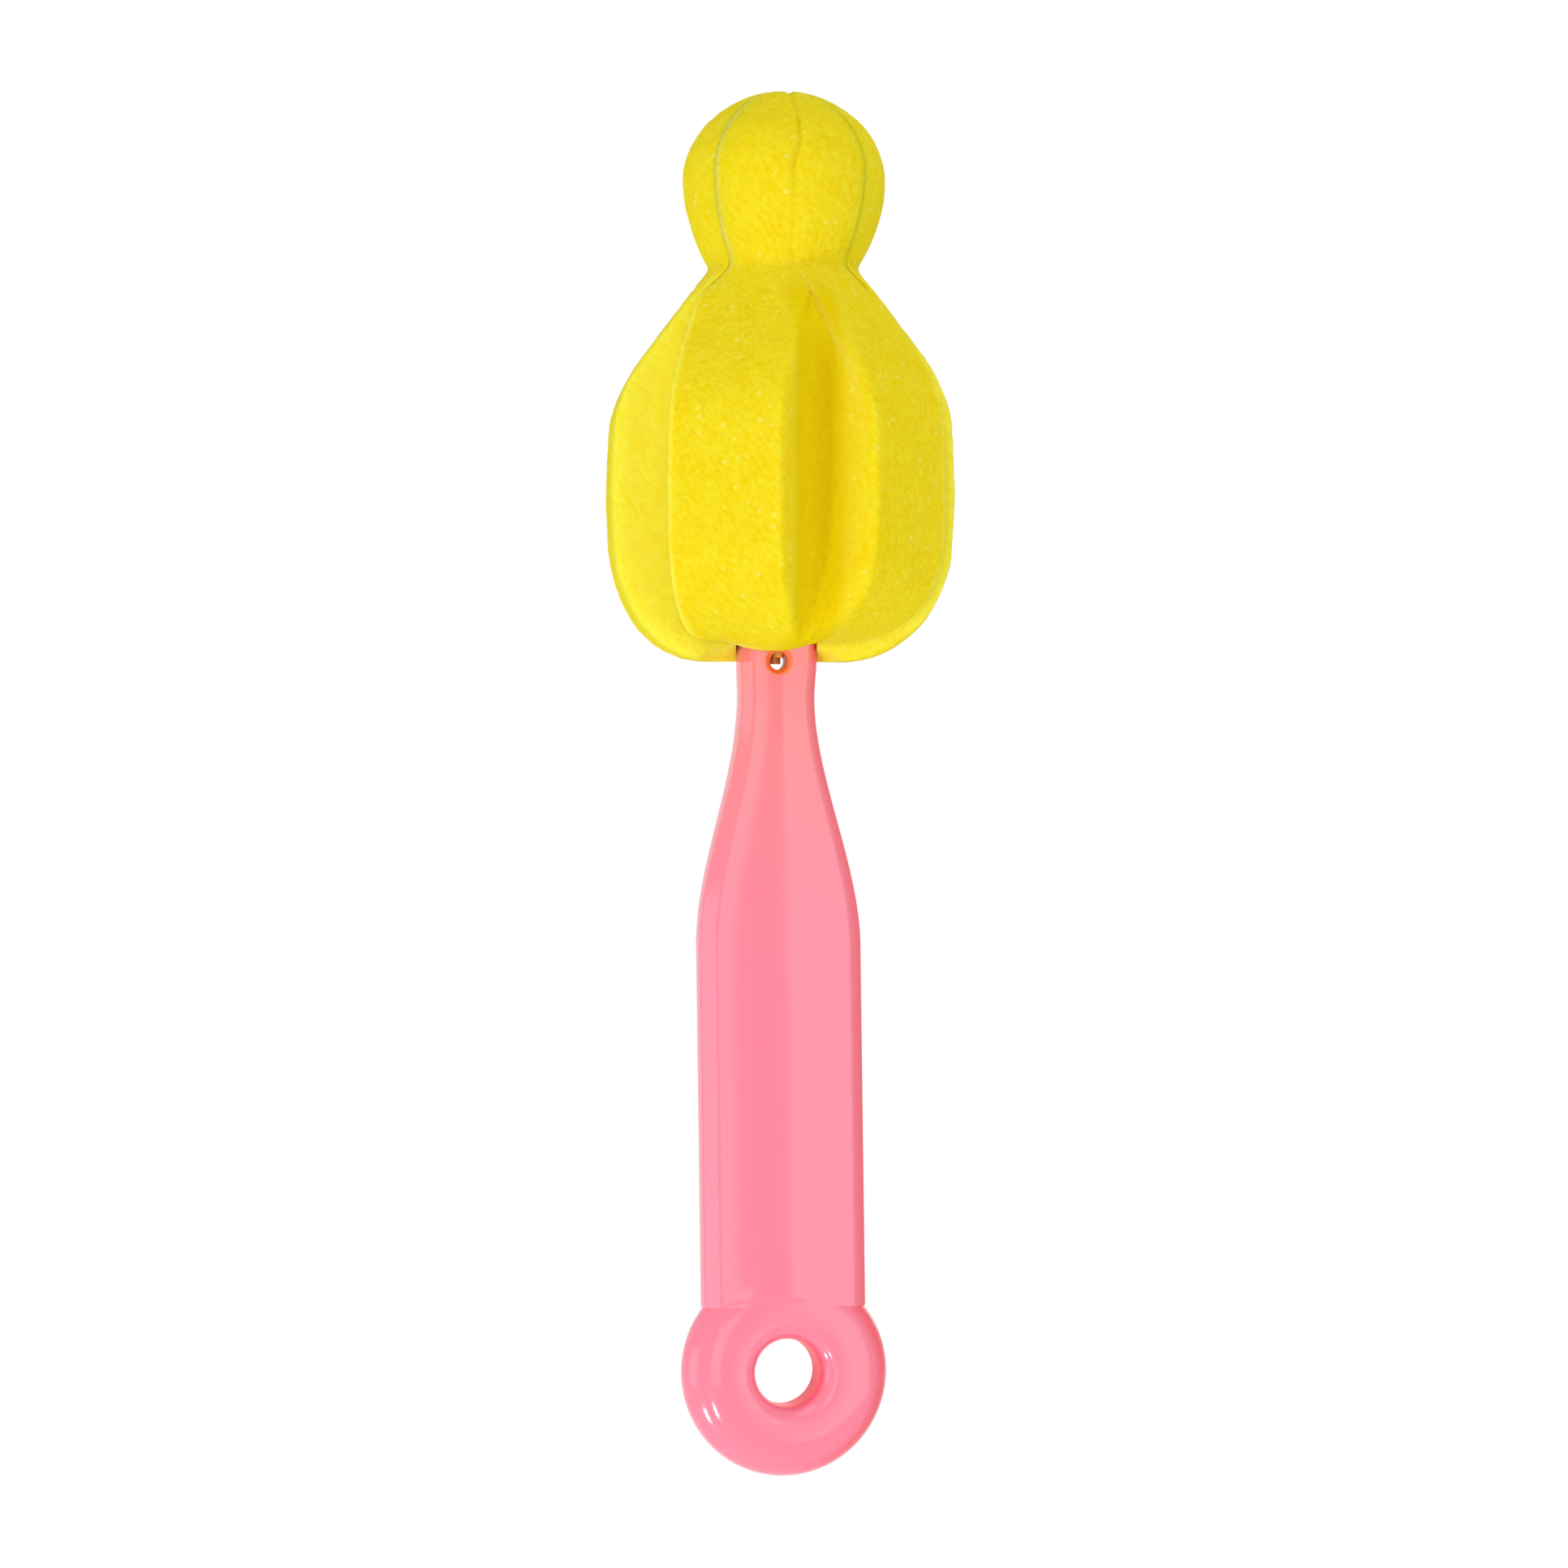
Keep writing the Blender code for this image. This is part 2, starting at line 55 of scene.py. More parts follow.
# Handle
HANGING_HOLE_RADIUS = 4.1 * MM
HOLE_FLARE_RADIUS = 2.2 * MM
RING_FACE_WIDTH = 2.8 * MM
RING_THICKNESS = 7.6 * MM
GRIP_WIDTH = 20.4 * MM
GRIP_THICKNESS = 7.4 * MM
GRIP_EDGE_THICKNESS = 5.8 * MM
GRIP_CHAMFER = 1.7 * MM
GRIP_END_LAND = 1.6 * MM
GRIP_LENGTH = 52.3 * MM
SHOULDER_LENGTH = 30.9 * MM
NECK_LENGTH = 4.2 * MM
NECK_WIDTH = 9.2 * MM
NECK_TOP_WIDTH = 9.6 * MM
NECK_THICKNESS = 6.4 * MM
NECK_EDGE_THICKNESS = 5.4 * MM
NECK_CHAMFER = 1.2 * MM
STUB_TIP_WIDTH = 8.6 * MM
STUB_LENGTH = 13.6 * MM
VENT_RADIUS = 1.1 * MM
VENT_COUNTERSINK = 0.45 * MM
VENT_TURN = math.radians(-8)
MOULD_ROUND = 0.4 * MM
PARTING_LINE_WIDTH = 0.12 * MM

# How far a shape that cuts reaches past the surface that it cuts
CUT_OVERSHOOT = 2 * MM

# The ring: how far in from its rim it is rounded, and how it flows into the grip's faces
RING_SOFT_REACH = 5.2 * MM
RING_SOFTNESS = 2.2
RING_BLEND = 1.2 * MM
RING_BLEND_RISE = 2 * MM
RING_BLEND_SINK = 0.02 * MM
RING_BLEND_END = 14 * MM

# Foam: the slabs' thickness, and the outline that they are cut to
FOAM_THICKNESS = 14.6 * MM
BULB_LOBE_THICKNESS = 18.4 * MM
FRONT_FOAM_LIFT = 1.2 * MM
FOAM_FLAT_RADIUS = 8.8 * MM
BODY_CORNER_RISE = 15.6 * MM
BODY_WIDE_RISE = 5.4 * MM
BODY_RADIUS = 21.1 * MM
BODY_BULGE_RADIUS = 96 * MM
SLOPE_BASE_RISE = 13 * MM
SLOPE_BASE_RADIUS = 19.6 * MM
PINCH_RISE = 14.2 * MM
PINCH_RADIUS = 9.1 * MM
PINCH_REACH_BELOW = 5 * MM
PINCH_REACH_ABOVE = 2 * MM
BULB_RISE = 11.3 * MM
BULB_RADIUS = 12.45 * MM
BULB_LOWER_REACH = 17 * MM
BULB_UPPER_REACH = 10.7 * MM
BULB_TOP_FLAT_RADIUS = 2.7 * MM
BULB_ROUNDNESS = 1.9
SLOPE_BLEND = 3 * MM
PINCH_BLEND = 0.9 * MM

# The lobes' edges and creases, and how the front slab's fold is filled and pressed in
CREASE_ROUND = 1.5 * MM
BULB_CREASE_ROUND = 0.012 * MM
BULB_FOLD_WIDTH = 1.0 * MM
BULB_FOLD_DEPTH = 0.14 * MM
TOP_FOLD_DEPTH = 0.55 * MM
TOP_FOLD_RISE = 4 * MM
FOLD_FILL = 1.8 * MM
FOLD_FILL_START = 2 * MM
OUTER_EDGE_BLEND = 1.4 * MM
BODY_FLAT_SHARE = 0.85
WIDEST_FACE_SHARE = 0.84

# Directions in plan, from the front towards +X. The straight middle slab lies turned a little between
# the folded ones. On the bulb the creases draw round to the left of where they are on the body
LEFT_LOBE_ANGLE = math.radians(-32.5)
RIGHT_LOBE_ANGLE = math.radians(34)
MIDDLE_LOBE_ANGLE = math.radians(81)
WEB_TURN = MIDDLE_LOBE_ANGLE - math.radians(90)
BULB_FOLD_ANGLE = math.radians(-8)
BULB_TOP_FOLD_TURN = math.radians(4)
BULB_CREASE_SPREAD = math.radians(48)
WEB_THICKNESS = 0.9 * MM

# Each side of the front slab's fold: half a lobe's thickness there, and how softly its edge turns in.
# The two sides grow alike near the fold
LEFT_OF_FOLD = (7.6 * MM, 2.6 * MM)
RIGHT_OF_FOLD = (7.0 * MM, 7 * MM)
FOLD_MEET_REACH = 4 * MM

# The underside: the middle slab gives way in front of the neck, and the front slab sags at its middle
RELIEF_TURN = math.radians(-14)
RELIEF_LOW = (-5.02 * MM, -14 * MM)
RELIEF_HIGH = (4.9 * MM, 0.4 * MM)
RELIEF_HEIGHT = 3.6 * MM
SCOOP_CENTRE = (-0.1 * MM, -7.2 * MM, -0.6 * MM)
SCOOP_REACH = (9.6 * MM, 9.8 * MM, 3.4 * MM)
SAG_CENTRE = -1.8 * MM
SAG_HALF_WIDTH = 6.5 * MM
SAG_DEPTH = 1.1 * MM
SAG_FADE = 8 * MM

# The brush isn't quite straight: how far it stands to the side of its axis at these heights
BOW_HEIGHTS = (0, 84 * MM, 96 * MM, 118 * MM, 140 * MM)
BOW_OFFSETS = (0, -1.12 * MM, -0.62 * MM, -0.62 * MM, 0)
BOW_SMOOTHING = 5 * MM

# How finely the foam's skin is modelled, and how the soft slabs press on each other
SKIN_STEP = 0.3 * MM
FACE_STEPS = 26
WALL_STEPS = 30
CAP_RINGS = 16
WALL_CROWDING = 1.35
CAP_CROWDING = 0.8
PRESSED_GAP = 0.012 * MM
SKIN_DEPTH = 0.5 * MM
CREASE_FADE = 0.9 * MM
# Width and inset of the pale cut edges, which are partly painted highlight
CUT_EDGE_WIDTH = 0.4 * MM
CUT_EDGE_INSET = 0.35 * MM
UNDERSIDE_SKIN_RADIUS = 6 * MM
CRISP_FACE_EDGE = 1 * MM
SOFT_FACE_EDGE = 6 * MM
# Reach and fade of the painted shade along the front slab's fold
FOLD_SHADE_REACH = 4.5 * MM
FOLD_SHADE_FADE = 2.2 * MM

# Wire
WIRE_DIAMETER = 1.4 * MM
LEG_OFFSET = 2.6 * MM
BORE_LEG_OFFSET = 0.85 * MM
WIRE_CONVERGE_LENGTH = 7 * MM
WIRE_TOP_SINK = 1.4 * MM
WIRE_END_PEEKS = (0.35 * MM, 1.1 * MM)
SEAT_GAP = 0.3 * MM
PINCH_SLOT_WIDTH = 0.9 * MM

# Worked out from the sizes above
RING_HALF = RING_THICKNESS / 2
FLARE_MOUTH_RADIUS = HANGING_HOLE_RADIUS + HOLE_FLARE_RADIUS
RING_RADIUS = FLARE_MOUTH_RADIUS + RING_FACE_WIDTH + RING_HALF
GRIP_END_HEIGHT = FLARE_MOUTH_RADIUS + GRIP_END_LAND
SHOULDER_END = GRIP_LENGTH + SHOULDER_LENGTH
FOAM_BOTTOM = SHOULDER_END + NECK_LENGTH
BODY_CORNER_HEIGHT = FOAM_BOTTOM + BODY_CORNER_RISE
BODY_WIDE_HEIGHT = BODY_CORNER_HEIGHT + BODY_WIDE_RISE
SLOPE_BASE_HEIGHT = BODY_WIDE_HEIGHT + SLOPE_BASE_RISE
PINCH_HEIGHT = SLOPE_BASE_HEIGHT + PINCH_RISE
BULB_HEIGHT = PINCH_HEIGHT + BULB_RISE
FOAM_TOP = BULB_HEIGHT + BULB_UPPER_REACH
STUB_TOP = FOAM_BOTTOM + STUB_LENGTH
BORE_BOTTOM = FOAM_BOTTOM + VENT_RADIUS * math.sin(math.radians(45))
WIRE_RADIUS = WIRE_DIAMETER / 2
CHANNEL_RADIUS = WIRE_RADIUS + PRESSED_GAP
BORE_RADIUS = BORE_LEG_OFFSET + WIRE_RADIUS + SEAT_GAP
WIRE_BEND_HEIGHT = FOAM_TOP - WIRE_TOP_SINK - LEG_OFFSET
SPREAD_END = STUB_TOP + WIRE_CONVERGE_LENGTH
LOBE_SPACING = RIGHT_LOBE_ANGLE - LEFT_LOBE_ANGLE
FOLD_MEET_SOFTNESS = (LEFT_OF_FOLD[1] + RIGHT_OF_FOLD[1]) / 2
FOLD_RATIO = LEFT_OF_FOLD[0] / RIGHT_OF_FOLD[0]
FOLD_SINE = FOLD_RATIO * math.sin(LOBE_SPACING)
FOLD_ANGLE = LEFT_LOBE_ANGLE + math.atan2(FOLD_SINE, 1 + FOLD_RATIO * math.cos(LOBE_SPACING))


# Small helpers for shapes

def mix(start, end, share):
    return start + (end - start) * share


def smooth_step(share):
    share = np.clip(share, 0, 1)
    return share * share * (3 - 2 * share)


def soft_min(a, b, blend):
    reach = np.maximum(blend - np.abs(a - b), 0) / blend
    return np.minimum(a, b) - reach * reach * blend / 4


def soft_max(a, b, blend):
    return -soft_min(-a, -b, blend)


def bow(heights):
    """How far the brush stands to the side of its axis at each height."""
    spread = np.linspace(-BOW_SMOOTHING, BOW_SMOOTHING, 11)[:, None]
    return np.interp(heights + spread, BOW_HEIGHTS, BOW_OFFSETS).mean(axis=0)


def vertex_places(mesh):
    """The mesh's vertices, a row of x, y and z for each."""
    places = np.zeros((len(mesh.vertices), 3), np.float32)
    mesh.vertices.foreach_get("co", places.reshape(-1))
    return places


def move_vertices(mesh, places):
    mesh.vertices.foreach_set("co", places.reshape(-1))
    mesh.update()


def store_marks(mesh, marks):
    """Stores named values on the mesh's vertices."""
    for name, values in marks.items():
        attribute = mesh.attributes.new(name, "FLOAT", "POINT")
        attribute.data.foreach_set("value", values.astype(np.float32))


def lean(mesh):
    """Bows a piece with the rest of the brush."""
    places = vertex_places(mesh)
    places[:, 0] += bow(places[:, 2])
    move_vertices(mesh, places)


def new_object(name, data):
    obj = bpy.data.objects.new(name, data)
    bpy.context.scene.collection.objects.link(obj)
    return obj


def object_from(bm, name):
    """A new object from a finished bmesh."""
    mesh = bpy.data.meshes.new(name)
    bm.to_mesh(mesh)
    bm.free()
    return new_object(name, mesh)


def mesh_from_grid(name, rows):
    """A closed mesh from rows of points, lowest row first, each row anticlockwise from above."""
    row_count, around, _ = rows.shape
    index = np.arange(row_count * around).reshape(row_count, around)
    beside = np.roll(index, -1, axis=1)
    quads = np.stack([index[:-1], beside[:-1], beside[1:], index[1:]], axis=-1).reshape(-1, 4)
    faces = quads.tolist() + [index[0, ::-1].tolist(), index[-1].tolist()]
    mesh = bpy.data.meshes.new(name)
    mesh.from_pydata(rows.reshape(-1, 3), [], faces)
    mesh.shade_smooth()
    return new_object(name, mesh)


def turned_mesh(name, profile, steps, centre_height):
    """A closed profile of (radius, height) points turned about the Y axis through a height on Z."""
    turns = np.arange(steps) * 2 * math.pi / steps
    points = np.array(profile)
    on_axis = points[:, 0] == 0
    bm = bmesh.new()
    rings = []
    for (radius, height), single in zip(points, on_axis):
        if single:
            rings.append([bm.verts.new((0, -height, centre_height))] * steps)
            continue
        ring = []
        for turn in turns:
            place = (radius * math.cos(turn), -height, centre_height + radius * math.sin(turn))
            ring.append(bm.verts.new(place))
        rings.append(ring)
    closed = not on_axis.any()
    pairs = list(zip(rings, rings[1:])) + ([(rings[-1], rings[0])] if closed else [])
    for upper, lower in pairs:
        for i in range(steps):
            j = (i + 1) % steps
            corners = dict.fromkeys((upper[i], upper[j], lower[j], lower[i]))
            bm.faces.new(list(corners))
    bmesh.ops.recalc_face_normals(bm, faces=bm.faces)
    obj = object_from(bm, name)
    obj.data.shade_smooth()
    return obj


def apply_modifiers(obj):
    """Bakes an object's modifiers into its own mesh."""
    graph = bpy.context.evaluated_depsgraph_get()
    mesh = bpy.data.meshes.new_from_object(obj.evaluated_get(graph))
    obj.modifiers.clear()
    obj.data = mesh
    return obj


def boolean(obj, operation, other, solver="MANIFOLD"):
    """Joins or cuts, bakes the result, and drops the other object."""
    modifier = obj.modifiers.new(operation.lower(), "BOOLEAN")
    modifier.operation = operation
    modifier.solver = solver
    modifier.object = other
    apply_modifiers(obj)
    bpy.data.objects.remove(other, do_unlink=True)
    return obj


def finish_piece(obj, name, material, slot, *nodes):
    """Names a finished piece, gives it its finish and lets it stand for its CAD nodes."""
    obj.name = name
    obj.data.name = name
    obj.data.materials.clear()
    obj.data.materials.append(material)
    lean(obj.data)
    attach(obj, BODY)
    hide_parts(*nodes)
    return obj


# Node trees

def set_inputs(tree, node, values):
    """Gives a node's inputs their values or links."""
    for name, value in values.items():
        if isinstance(value, bpy.types.NodeSocket):
            tree.links.new(value, node.inputs[name])
        else:
            node.inputs[name].default_value = value


def add_node(tree, kind, values=None, **settings):
    node = tree.nodes.new(kind)
    for name, value in settings.items():
        setattr(node, name, value)
    set_inputs(tree, node, values or {})
    return node


def math_node(tree, operation, a, b=0.0, c=0.0, clamp=False):
    values = {0: a, 1: b, 2: c}
    return add_node(tree, "ShaderNodeMath", values, operation=operation, use_clamp=clamp).outputs[0]


def vector_node(tree, operation, a, b=(0, 0, 0)):
    return add_node(tree, "ShaderNodeVectorMath", {0: a, 1: b}, operation=operation).outputs


def map_range(tree, value, low, high, to_low=0.0, to_high=1.0, kind="SMOOTHSTEP"):
    values = {"Value": value, "From Min": low, "From Max": high, "To Min": to_low, "To Max": to_high}
    return add_node(tree, "ShaderNodeMapRange", values, interpolation_type=kind).outputs["Result"]


def mix_colour(tree, share, first, second):
    values = {0: share, 6: first, 7: second}
    return add_node(tree, "ShaderNodeMix", values, data_type="RGBA").outputs[2]


def new_material(name):
    material = bpy.data.materials.new(name)
    material.use_nodes = True
    return material, material.node_tree, material.node_tree.nodes["Principled BSDF"]


def object_place(tree):
    return add_node(tree, "ShaderNodeTexCoord").outputs["Object"]


def noise(tree, place, size, detail=2.0, roughness=0.5):
    values = {"Vector": place, "Scale": 1 / size, "Detail": detail, "Roughness": roughness}
    return add_node(tree, "ShaderNodeTexNoise", values).outputs["Fac"]


def cells(tree, place, scale):
    """Scattered points: the distance to the nearest, and a colour for each."""
    return add_node(tree, "ShaderNodeTexVoronoi", {"Vector": place, "Scale": scale}, feature="F1").outputs


def coordinate(tree, place, axis):
    return add_node(tree, "ShaderNodeSeparateXYZ", {"Vector": place}).outputs[axis]


def mapped(tree, place, turn=(0, 0, 0), scale=(1, 1, 1), kind="POINT"):
    values = {"Vector": place, "Rotation": turn, "Scale": scale}
    return add_node(tree, "ShaderNodeMapping", values, vector_type=kind).outputs["Vector"]


def stored(tree, name):
    """A value that is stored on the mesh's vertices."""
    return add_node(tree, "ShaderNodeAttribute", attribute_name=name).outputs["Fac"]


def bump(tree, height, strength, distance):
    values = {"Height": height, "Strength": strength, "Distance": distance}
    return add_node(tree, "ShaderNodeBump", values).outputs["Normal"]


# Finishes

PLASTIC_PINK = (0.97, 0.215, 0.315, 1)
PLASTIC_WARM = (0.97, 0.235, 0.262, 1)
# Painted shade: a deeper red for the handle's right chamfers, the ring's right rim and inside the hanging
# hole
PLASTIC_PAINTED_SHADE = (1.0, 0.07, 0.12, 1)
# Painted shade: warm orange inside the cross hole, as of light coming through the plastic
VENT_PAINTED_SHADE = (1.0, 0.19, 0.04, 1)
FOAM_WALL = (0.94, 0.83, 0.07, 1)
FOAM_WALL_DEEP = (0.9, 0.77, 0.03, 1)
FOAM_YELLOW = (0.88, 0.735, 0.024, 1)
FOAM_DEEP = (0.86, 0.655, 0.002, 1)
FOAM_FOLD_PAINTED_SHADE = (0.81, 0.62, 0.001, 1)
FOAM_FLECK = (0.95, 0.87, 0.2, 1)
# Pale cut edges: partly worn cut edges and partly a painted highlight on the lobes' lit corners
FOAM_CUT_EDGE_AND_HIGHLIGHT = (0.93, 0.83, 0.3, 1)
WIRE_GREY = (0.62, 0.61, 0.58, 1)
WIRE_BRIGHT = (0.72, 0.7, 0.66, 1)
# Painted light: an orange glow on the wire's cut ends, as of light coming through the plastic
WIRE_END_PAINTED_GLOW = (1.0, 0.64, 0.12, 1)

# Sizes of what shows in the finishes
WARM_START_HEIGHT = 45 * MM
# How far the painted shade inside the holes fades out past their walls
PAINTED_HOLE_SHADE_REACH = 0.4 * MM
# How wide the painted shade on the right chamfers and the ring's right rim is, and how it fades
CHAMFER_PAINTED_SHADE_FADE = 0.5 * MM
RIM_PAINTED_SHADE_WIDTH = 2.4 * MM
RIM_PAINTED_SHADE_FADE = 1.6 * MM
PLASTIC_CLOUD_SIZE = 9 * MM
HANDLING_SIZE = 4 * MM
PLASTIC_WAVE_SIZE = 5 * MM
PLASTIC_RELIEF = 0.08 * MM
DRAW_MARK_SIZE = 0.12 * MM
# Where the painted glow on the wire's ends fades out
PAINTED_GLOW_LOW = FOAM_BOTTOM + 1 * MM
PAINTED_GLOW_HIGH = FOAM_BOTTOM + 3 * MM
FOAM_PATCH_SIZE = 2.6 * MM
FOAM_GRAIN_SIZE = 0.5 * MM
FOAM_GRAIN_SLANT = math.radians(45)
FOAM_GRAIN_STRETCH = 2.4
FLECK_SPACING = 1.3 * MM
PIT_SPACING = 0.42 * MM
PIT_EDGE_SIZE = 0.2 * MM
FOAM_RELIEF = 0.12 * MM


def plastic_material():
    """Glossy moulded plastic that light soaks into, warmer in tint towards the foam, with painted shade
    deepening its right edges and the insides of its holes.
    """
    material, tree, shader = new_material("pink_moulded_plastic")
    place = object_place(tree)
    warmth = map_range(tree, coordinate(tree, place, "Z"), WARM_START_HEIGHT, FOAM_BOTTOM)
    cloud = noise(tree, place, PLASTIC_CLOUD_SIZE)
    tint = math_node(tree, "MULTIPLY_ADD", cloud, 0.25, warmth)
    share = math_node(tree, "SUBTRACT", tint, 0.12, clamp=True)
    colour = mix_colour(tree, share, PLASTIC_PINK, PLASTIC_WARM)
    # Painted shade: deeper red down the right chamfers and round the ring's right rim, stored as rim
    colour = mix_colour(tree, stored(tree, "rim"), colour, PLASTIC_PAINTED_SHADE)
    # Painted shade inside the hanging hole
    in_hole = inside_hole(tree, place, (0, 0, 0), 0, HANGING_HOLE_RADIUS)
    colour = mix_colour(tree, in_hole, colour, PLASTIC_PAINTED_SHADE)
    # Painted shade, warm orange, inside the cross hole
    vent_centre = (float(bow(FOAM_BOTTOM)[0]), 0, FOAM_BOTTOM)
    in_vent = inside_hole(tree, place, vent_centre, VENT_TURN, VENT_RADIUS + VENT_COUNTERSINK)
    handling = noise(tree, place, HANDLING_SIZE)
    roughness = map_range(tree, handling, 0.0, 1.0, 0.1, 0.17, "LINEAR")
    inside = math_node(tree, "MAXIMUM", in_hole, in_vent)
    from_middle = math_node(tree, "ABSOLUTE", coordinate(tree, place, "Y"))
    line = map_range(tree, from_middle, 0.0, PARTING_LINE_WIDTH, 1.0, 0.0)
    wave = noise(tree, place, PLASTIC_WAVE_SIZE, 1.0)
    relief = math_node(tree, "MULTIPLY_ADD", wave, 0.35, line)
    values = {
        "Base Color": mix_colour(tree, in_vent, colour, VENT_PAINTED_SHADE),
        "Roughness": math_node(tree, "MULTIPLY_ADD", inside, 0.3, roughness),
        "IOR": 1.55,
        "Subsurface Weight": 0.35,
        "Subsurface Radius": (1.0, 0.35, 0.4),
        "Subsurface Scale": 2.2 * MM,
        "Normal": bump(tree, relief, 0.2, PLASTIC_RELIEF),
    }
    set_inputs(tree, shader, values)
    return material


def inside_hole(tree, place, centre, turn, radius):
    """1 inside a hole from front to back, turned about the vertical, fading at its edge."""
    centred = vector_node(tree, "SUBTRACT", place, centre)["Vector"]
    turned = mapped(tree, centred, (0, 0, -turn))
    flat = vector_node(tree, "MULTIPLY", turned, (1, 0, 1))["Vector"]
    away = vector_node(tree, "LENGTH", flat)["Value"]
    return map_range(tree, away, radius, radius + PAINTED_HOLE_SHADE_REACH, 1.0, 0.0)


def wire_material():
    """Drawn wire: fine rings of draw marks along its length, and a painted orange glow, not metal, on its
    cut ends, as of light coming through the plastic.
    """
    material, tree, shader = new_material("bright_drawn_wire")
    place = object_place(tree)
    streaks = noise(tree, mapped(tree, place, scale=(1, 1, 0.04)), DRAW_MARK_SIZE, 3.0)
    colour = mix_colour(tree, streaks, WIRE_GREY, WIRE_BRIGHT)
    height = coordinate(tree, place, "Z")
    # Painted glow: orange and not metallic on the ends down in the bore
    painted_glow = map_range(tree, height, PAINTED_GLOW_LOW, PAINTED_GLOW_HIGH, 1.0, 0.0)
    values = {
        "Base Color": mix_colour(tree, painted_glow, colour, WIRE_END_PAINTED_GLOW),
        "Roughness": map_range(tree, streaks, 0.3, 0.7, 0.22, 0.4),
        "Metallic": map_range(tree, painted_glow, 0.0, 1.0, 1.0, 0.0, "LINEAR"),
    }
    set_inputs(tree, shader, values)
    return material


def foam_material():
    """Open cell foam: mottled, pitted, with light flecks on the faces, pale edges where it was cut that
    are partly a painted highlight, and painted shade along the front slab's fold.
    """
    material, tree, shader = new_material("yellow_open_cell_foam")
    place = object_place(tree)
    stretch = (FOAM_GRAIN_STRETCH, 1, 1)
    slanted = mapped(tree, place, (0, FOAM_GRAIN_SLANT, 0), stretch, "TEXTURE")
    patch = noise(tree, place, FOAM_PATCH_SIZE, 3.0, 0.6)
    grain = noise(tree, slanted, FOAM_GRAIN_SIZE, 1.5, 0.55)
    mottle = math_node(tree, "MULTIPLY_ADD", grain, 0.62, math_node(tree, "MULTIPLY", patch, 0.38))
    depth = map_range(tree, mottle, 0.32, 0.68)
    colour = mix_colour(tree, depth, FOAM_DEEP, FOAM_YELLOW)
    face = stored(tree, "face")
    wall = mix_colour(tree, depth, FOAM_WALL_DEEP, FOAM_WALL)
    colour = mix_colour(tree, face, wall, colour)
    # Painted shade along the crease of the front slab's fold, stored as fold
    colour = mix_colour(tree, stored(tree, "fold"), colour, FOAM_FOLD_PAINTED_SHADE)
    points = cells(tree, place, 1 / FLECK_SPACING)
    near = map_range(tree, points["Distance"], 0.05, 0.36, 1.0, 0.0)
    some = add_node(tree, "ShaderNodeSeparateColor", {"Color": points["Color"]}).outputs["Red"]
    picked = map_range(tree, some, 0.7, 0.9)
    fleck = math_node(tree, "MULTIPLY", math_node(tree, "MULTIPLY", near, picked), face)
    colour = mix_colour(tree, math_node(tree, "MULTIPLY", fleck, 0.5), colour, FOAM_FLECK)
    # Pale cut edges, partly wear and partly a painted highlight on lit corners
    ragged = map_range(tree, grain, 0.35, 0.6, 0.45, 1.0)
    pale = math_node(tree, "MULTIPLY", stored(tree, "cut_edge_and_highlight"), ragged, clamp=True)
    worn_and_highlit = math_node(tree, "MULTIPLY", pale, 0.8)
    pit = cells(tree, place, 1 / PIT_SPACING)["Distance"]
    relief = math_node(tree, "MULTIPLY_ADD", pit, 0.7, noise(tree, place, PIT_EDGE_SIZE, 2.0, 0.7))
    strength = map_range(tree, face, 0.0, 1.0, 0.3, 0.55)
    values = {
        "Base Color": mix_colour(tree, worn_and_highlit, colour, FOAM_CUT_EDGE_AND_HIGHLIGHT),
        "Roughness": map_range(tree, grain, 0.3, 0.7, 0.8, 0.98),
        "Specular IOR Level": 0.06,
        "Subsurface Weight": 0.6,
        "Subsurface Radius": (1.0, 0.75, 0.12),
        "Subsurface Scale": 2.5 * MM,
        "Normal": bump(tree, relief, strength, FOAM_RELIEF),
    }
    set_inputs(tree, shader, values)
    return material


# Handle

def bar_sizes(height):
    share = smooth_step((height - GRIP_LENGTH) / SHOULDER_LENGTH)
    neck_width = mix(NECK_WIDTH, NECK_TOP_WIDTH, smooth_step((height - SHOULDER_END) / NECK_LENGTH))
    stub_share = smooth_step((height - FOAM_BOTTOM) / STUB_LENGTH)
    neck_width = mix(neck_width, STUB_TIP_WIDTH, stub_share)
    half_width = mix(GRIP_WIDTH, neck_width, share) / 2
    crown = mix(GRIP_THICKNESS, NECK_THICKNESS, share) / 2
    edge = mix(GRIP_EDGE_THICKNESS, NECK_EDGE_THICKNESS, share) / 2
    return half_width, crown, edge, mix(GRIP_CHAMFER, NECK_CHAMFER, share)


def ring_blend(height, face, across):
    """Flows the bar's face into the ring's surface."""
    reach = (np.hypot(across, height) - RING_RADIUS) / RING_SOFT_REACH + 1
    ring = RING_HALF * (1 - np.clip(reach, 0, 1) ** RING_SOFTNESS) ** (1 / RING_SOFTNESS)
    start = smooth_step((height - GRIP_END_HEIGHT) / RING_BLEND_RISE)
    return mix(np.maximum(face, ring - RING_BLEND_SINK), soft_max(face, ring, RING_BLEND), start)


def bar_rows(heights, extra=0.0, crown_steps=24):
    """The handle bar's outlines at each height, anticlockwise from above."""
    rows = []
    for height in heights:
        half_width, crown, edge, chamfer = bar_sizes(height)
        face_half = half_width - chamfer
        across = np.linspace(1, -1, crown_steps + 1)
        crowned = ring_blend(height, crown - (crown - edge) * across**2, across * face_half)
        face = np.stack([across * face_half, crowned + extra], axis=-1)
        first = np.array([[half_width + extra, edge - chamfer]])
        last = np.array([[-half_width - extra, edge - chamfer]])
        back = np.concatenate([first, face, last])
        outline = np.concatenate([back, -back])
        rows.append(np.column_stack([outline, np.full(len(outline), height)]))
    return np.array(rows)


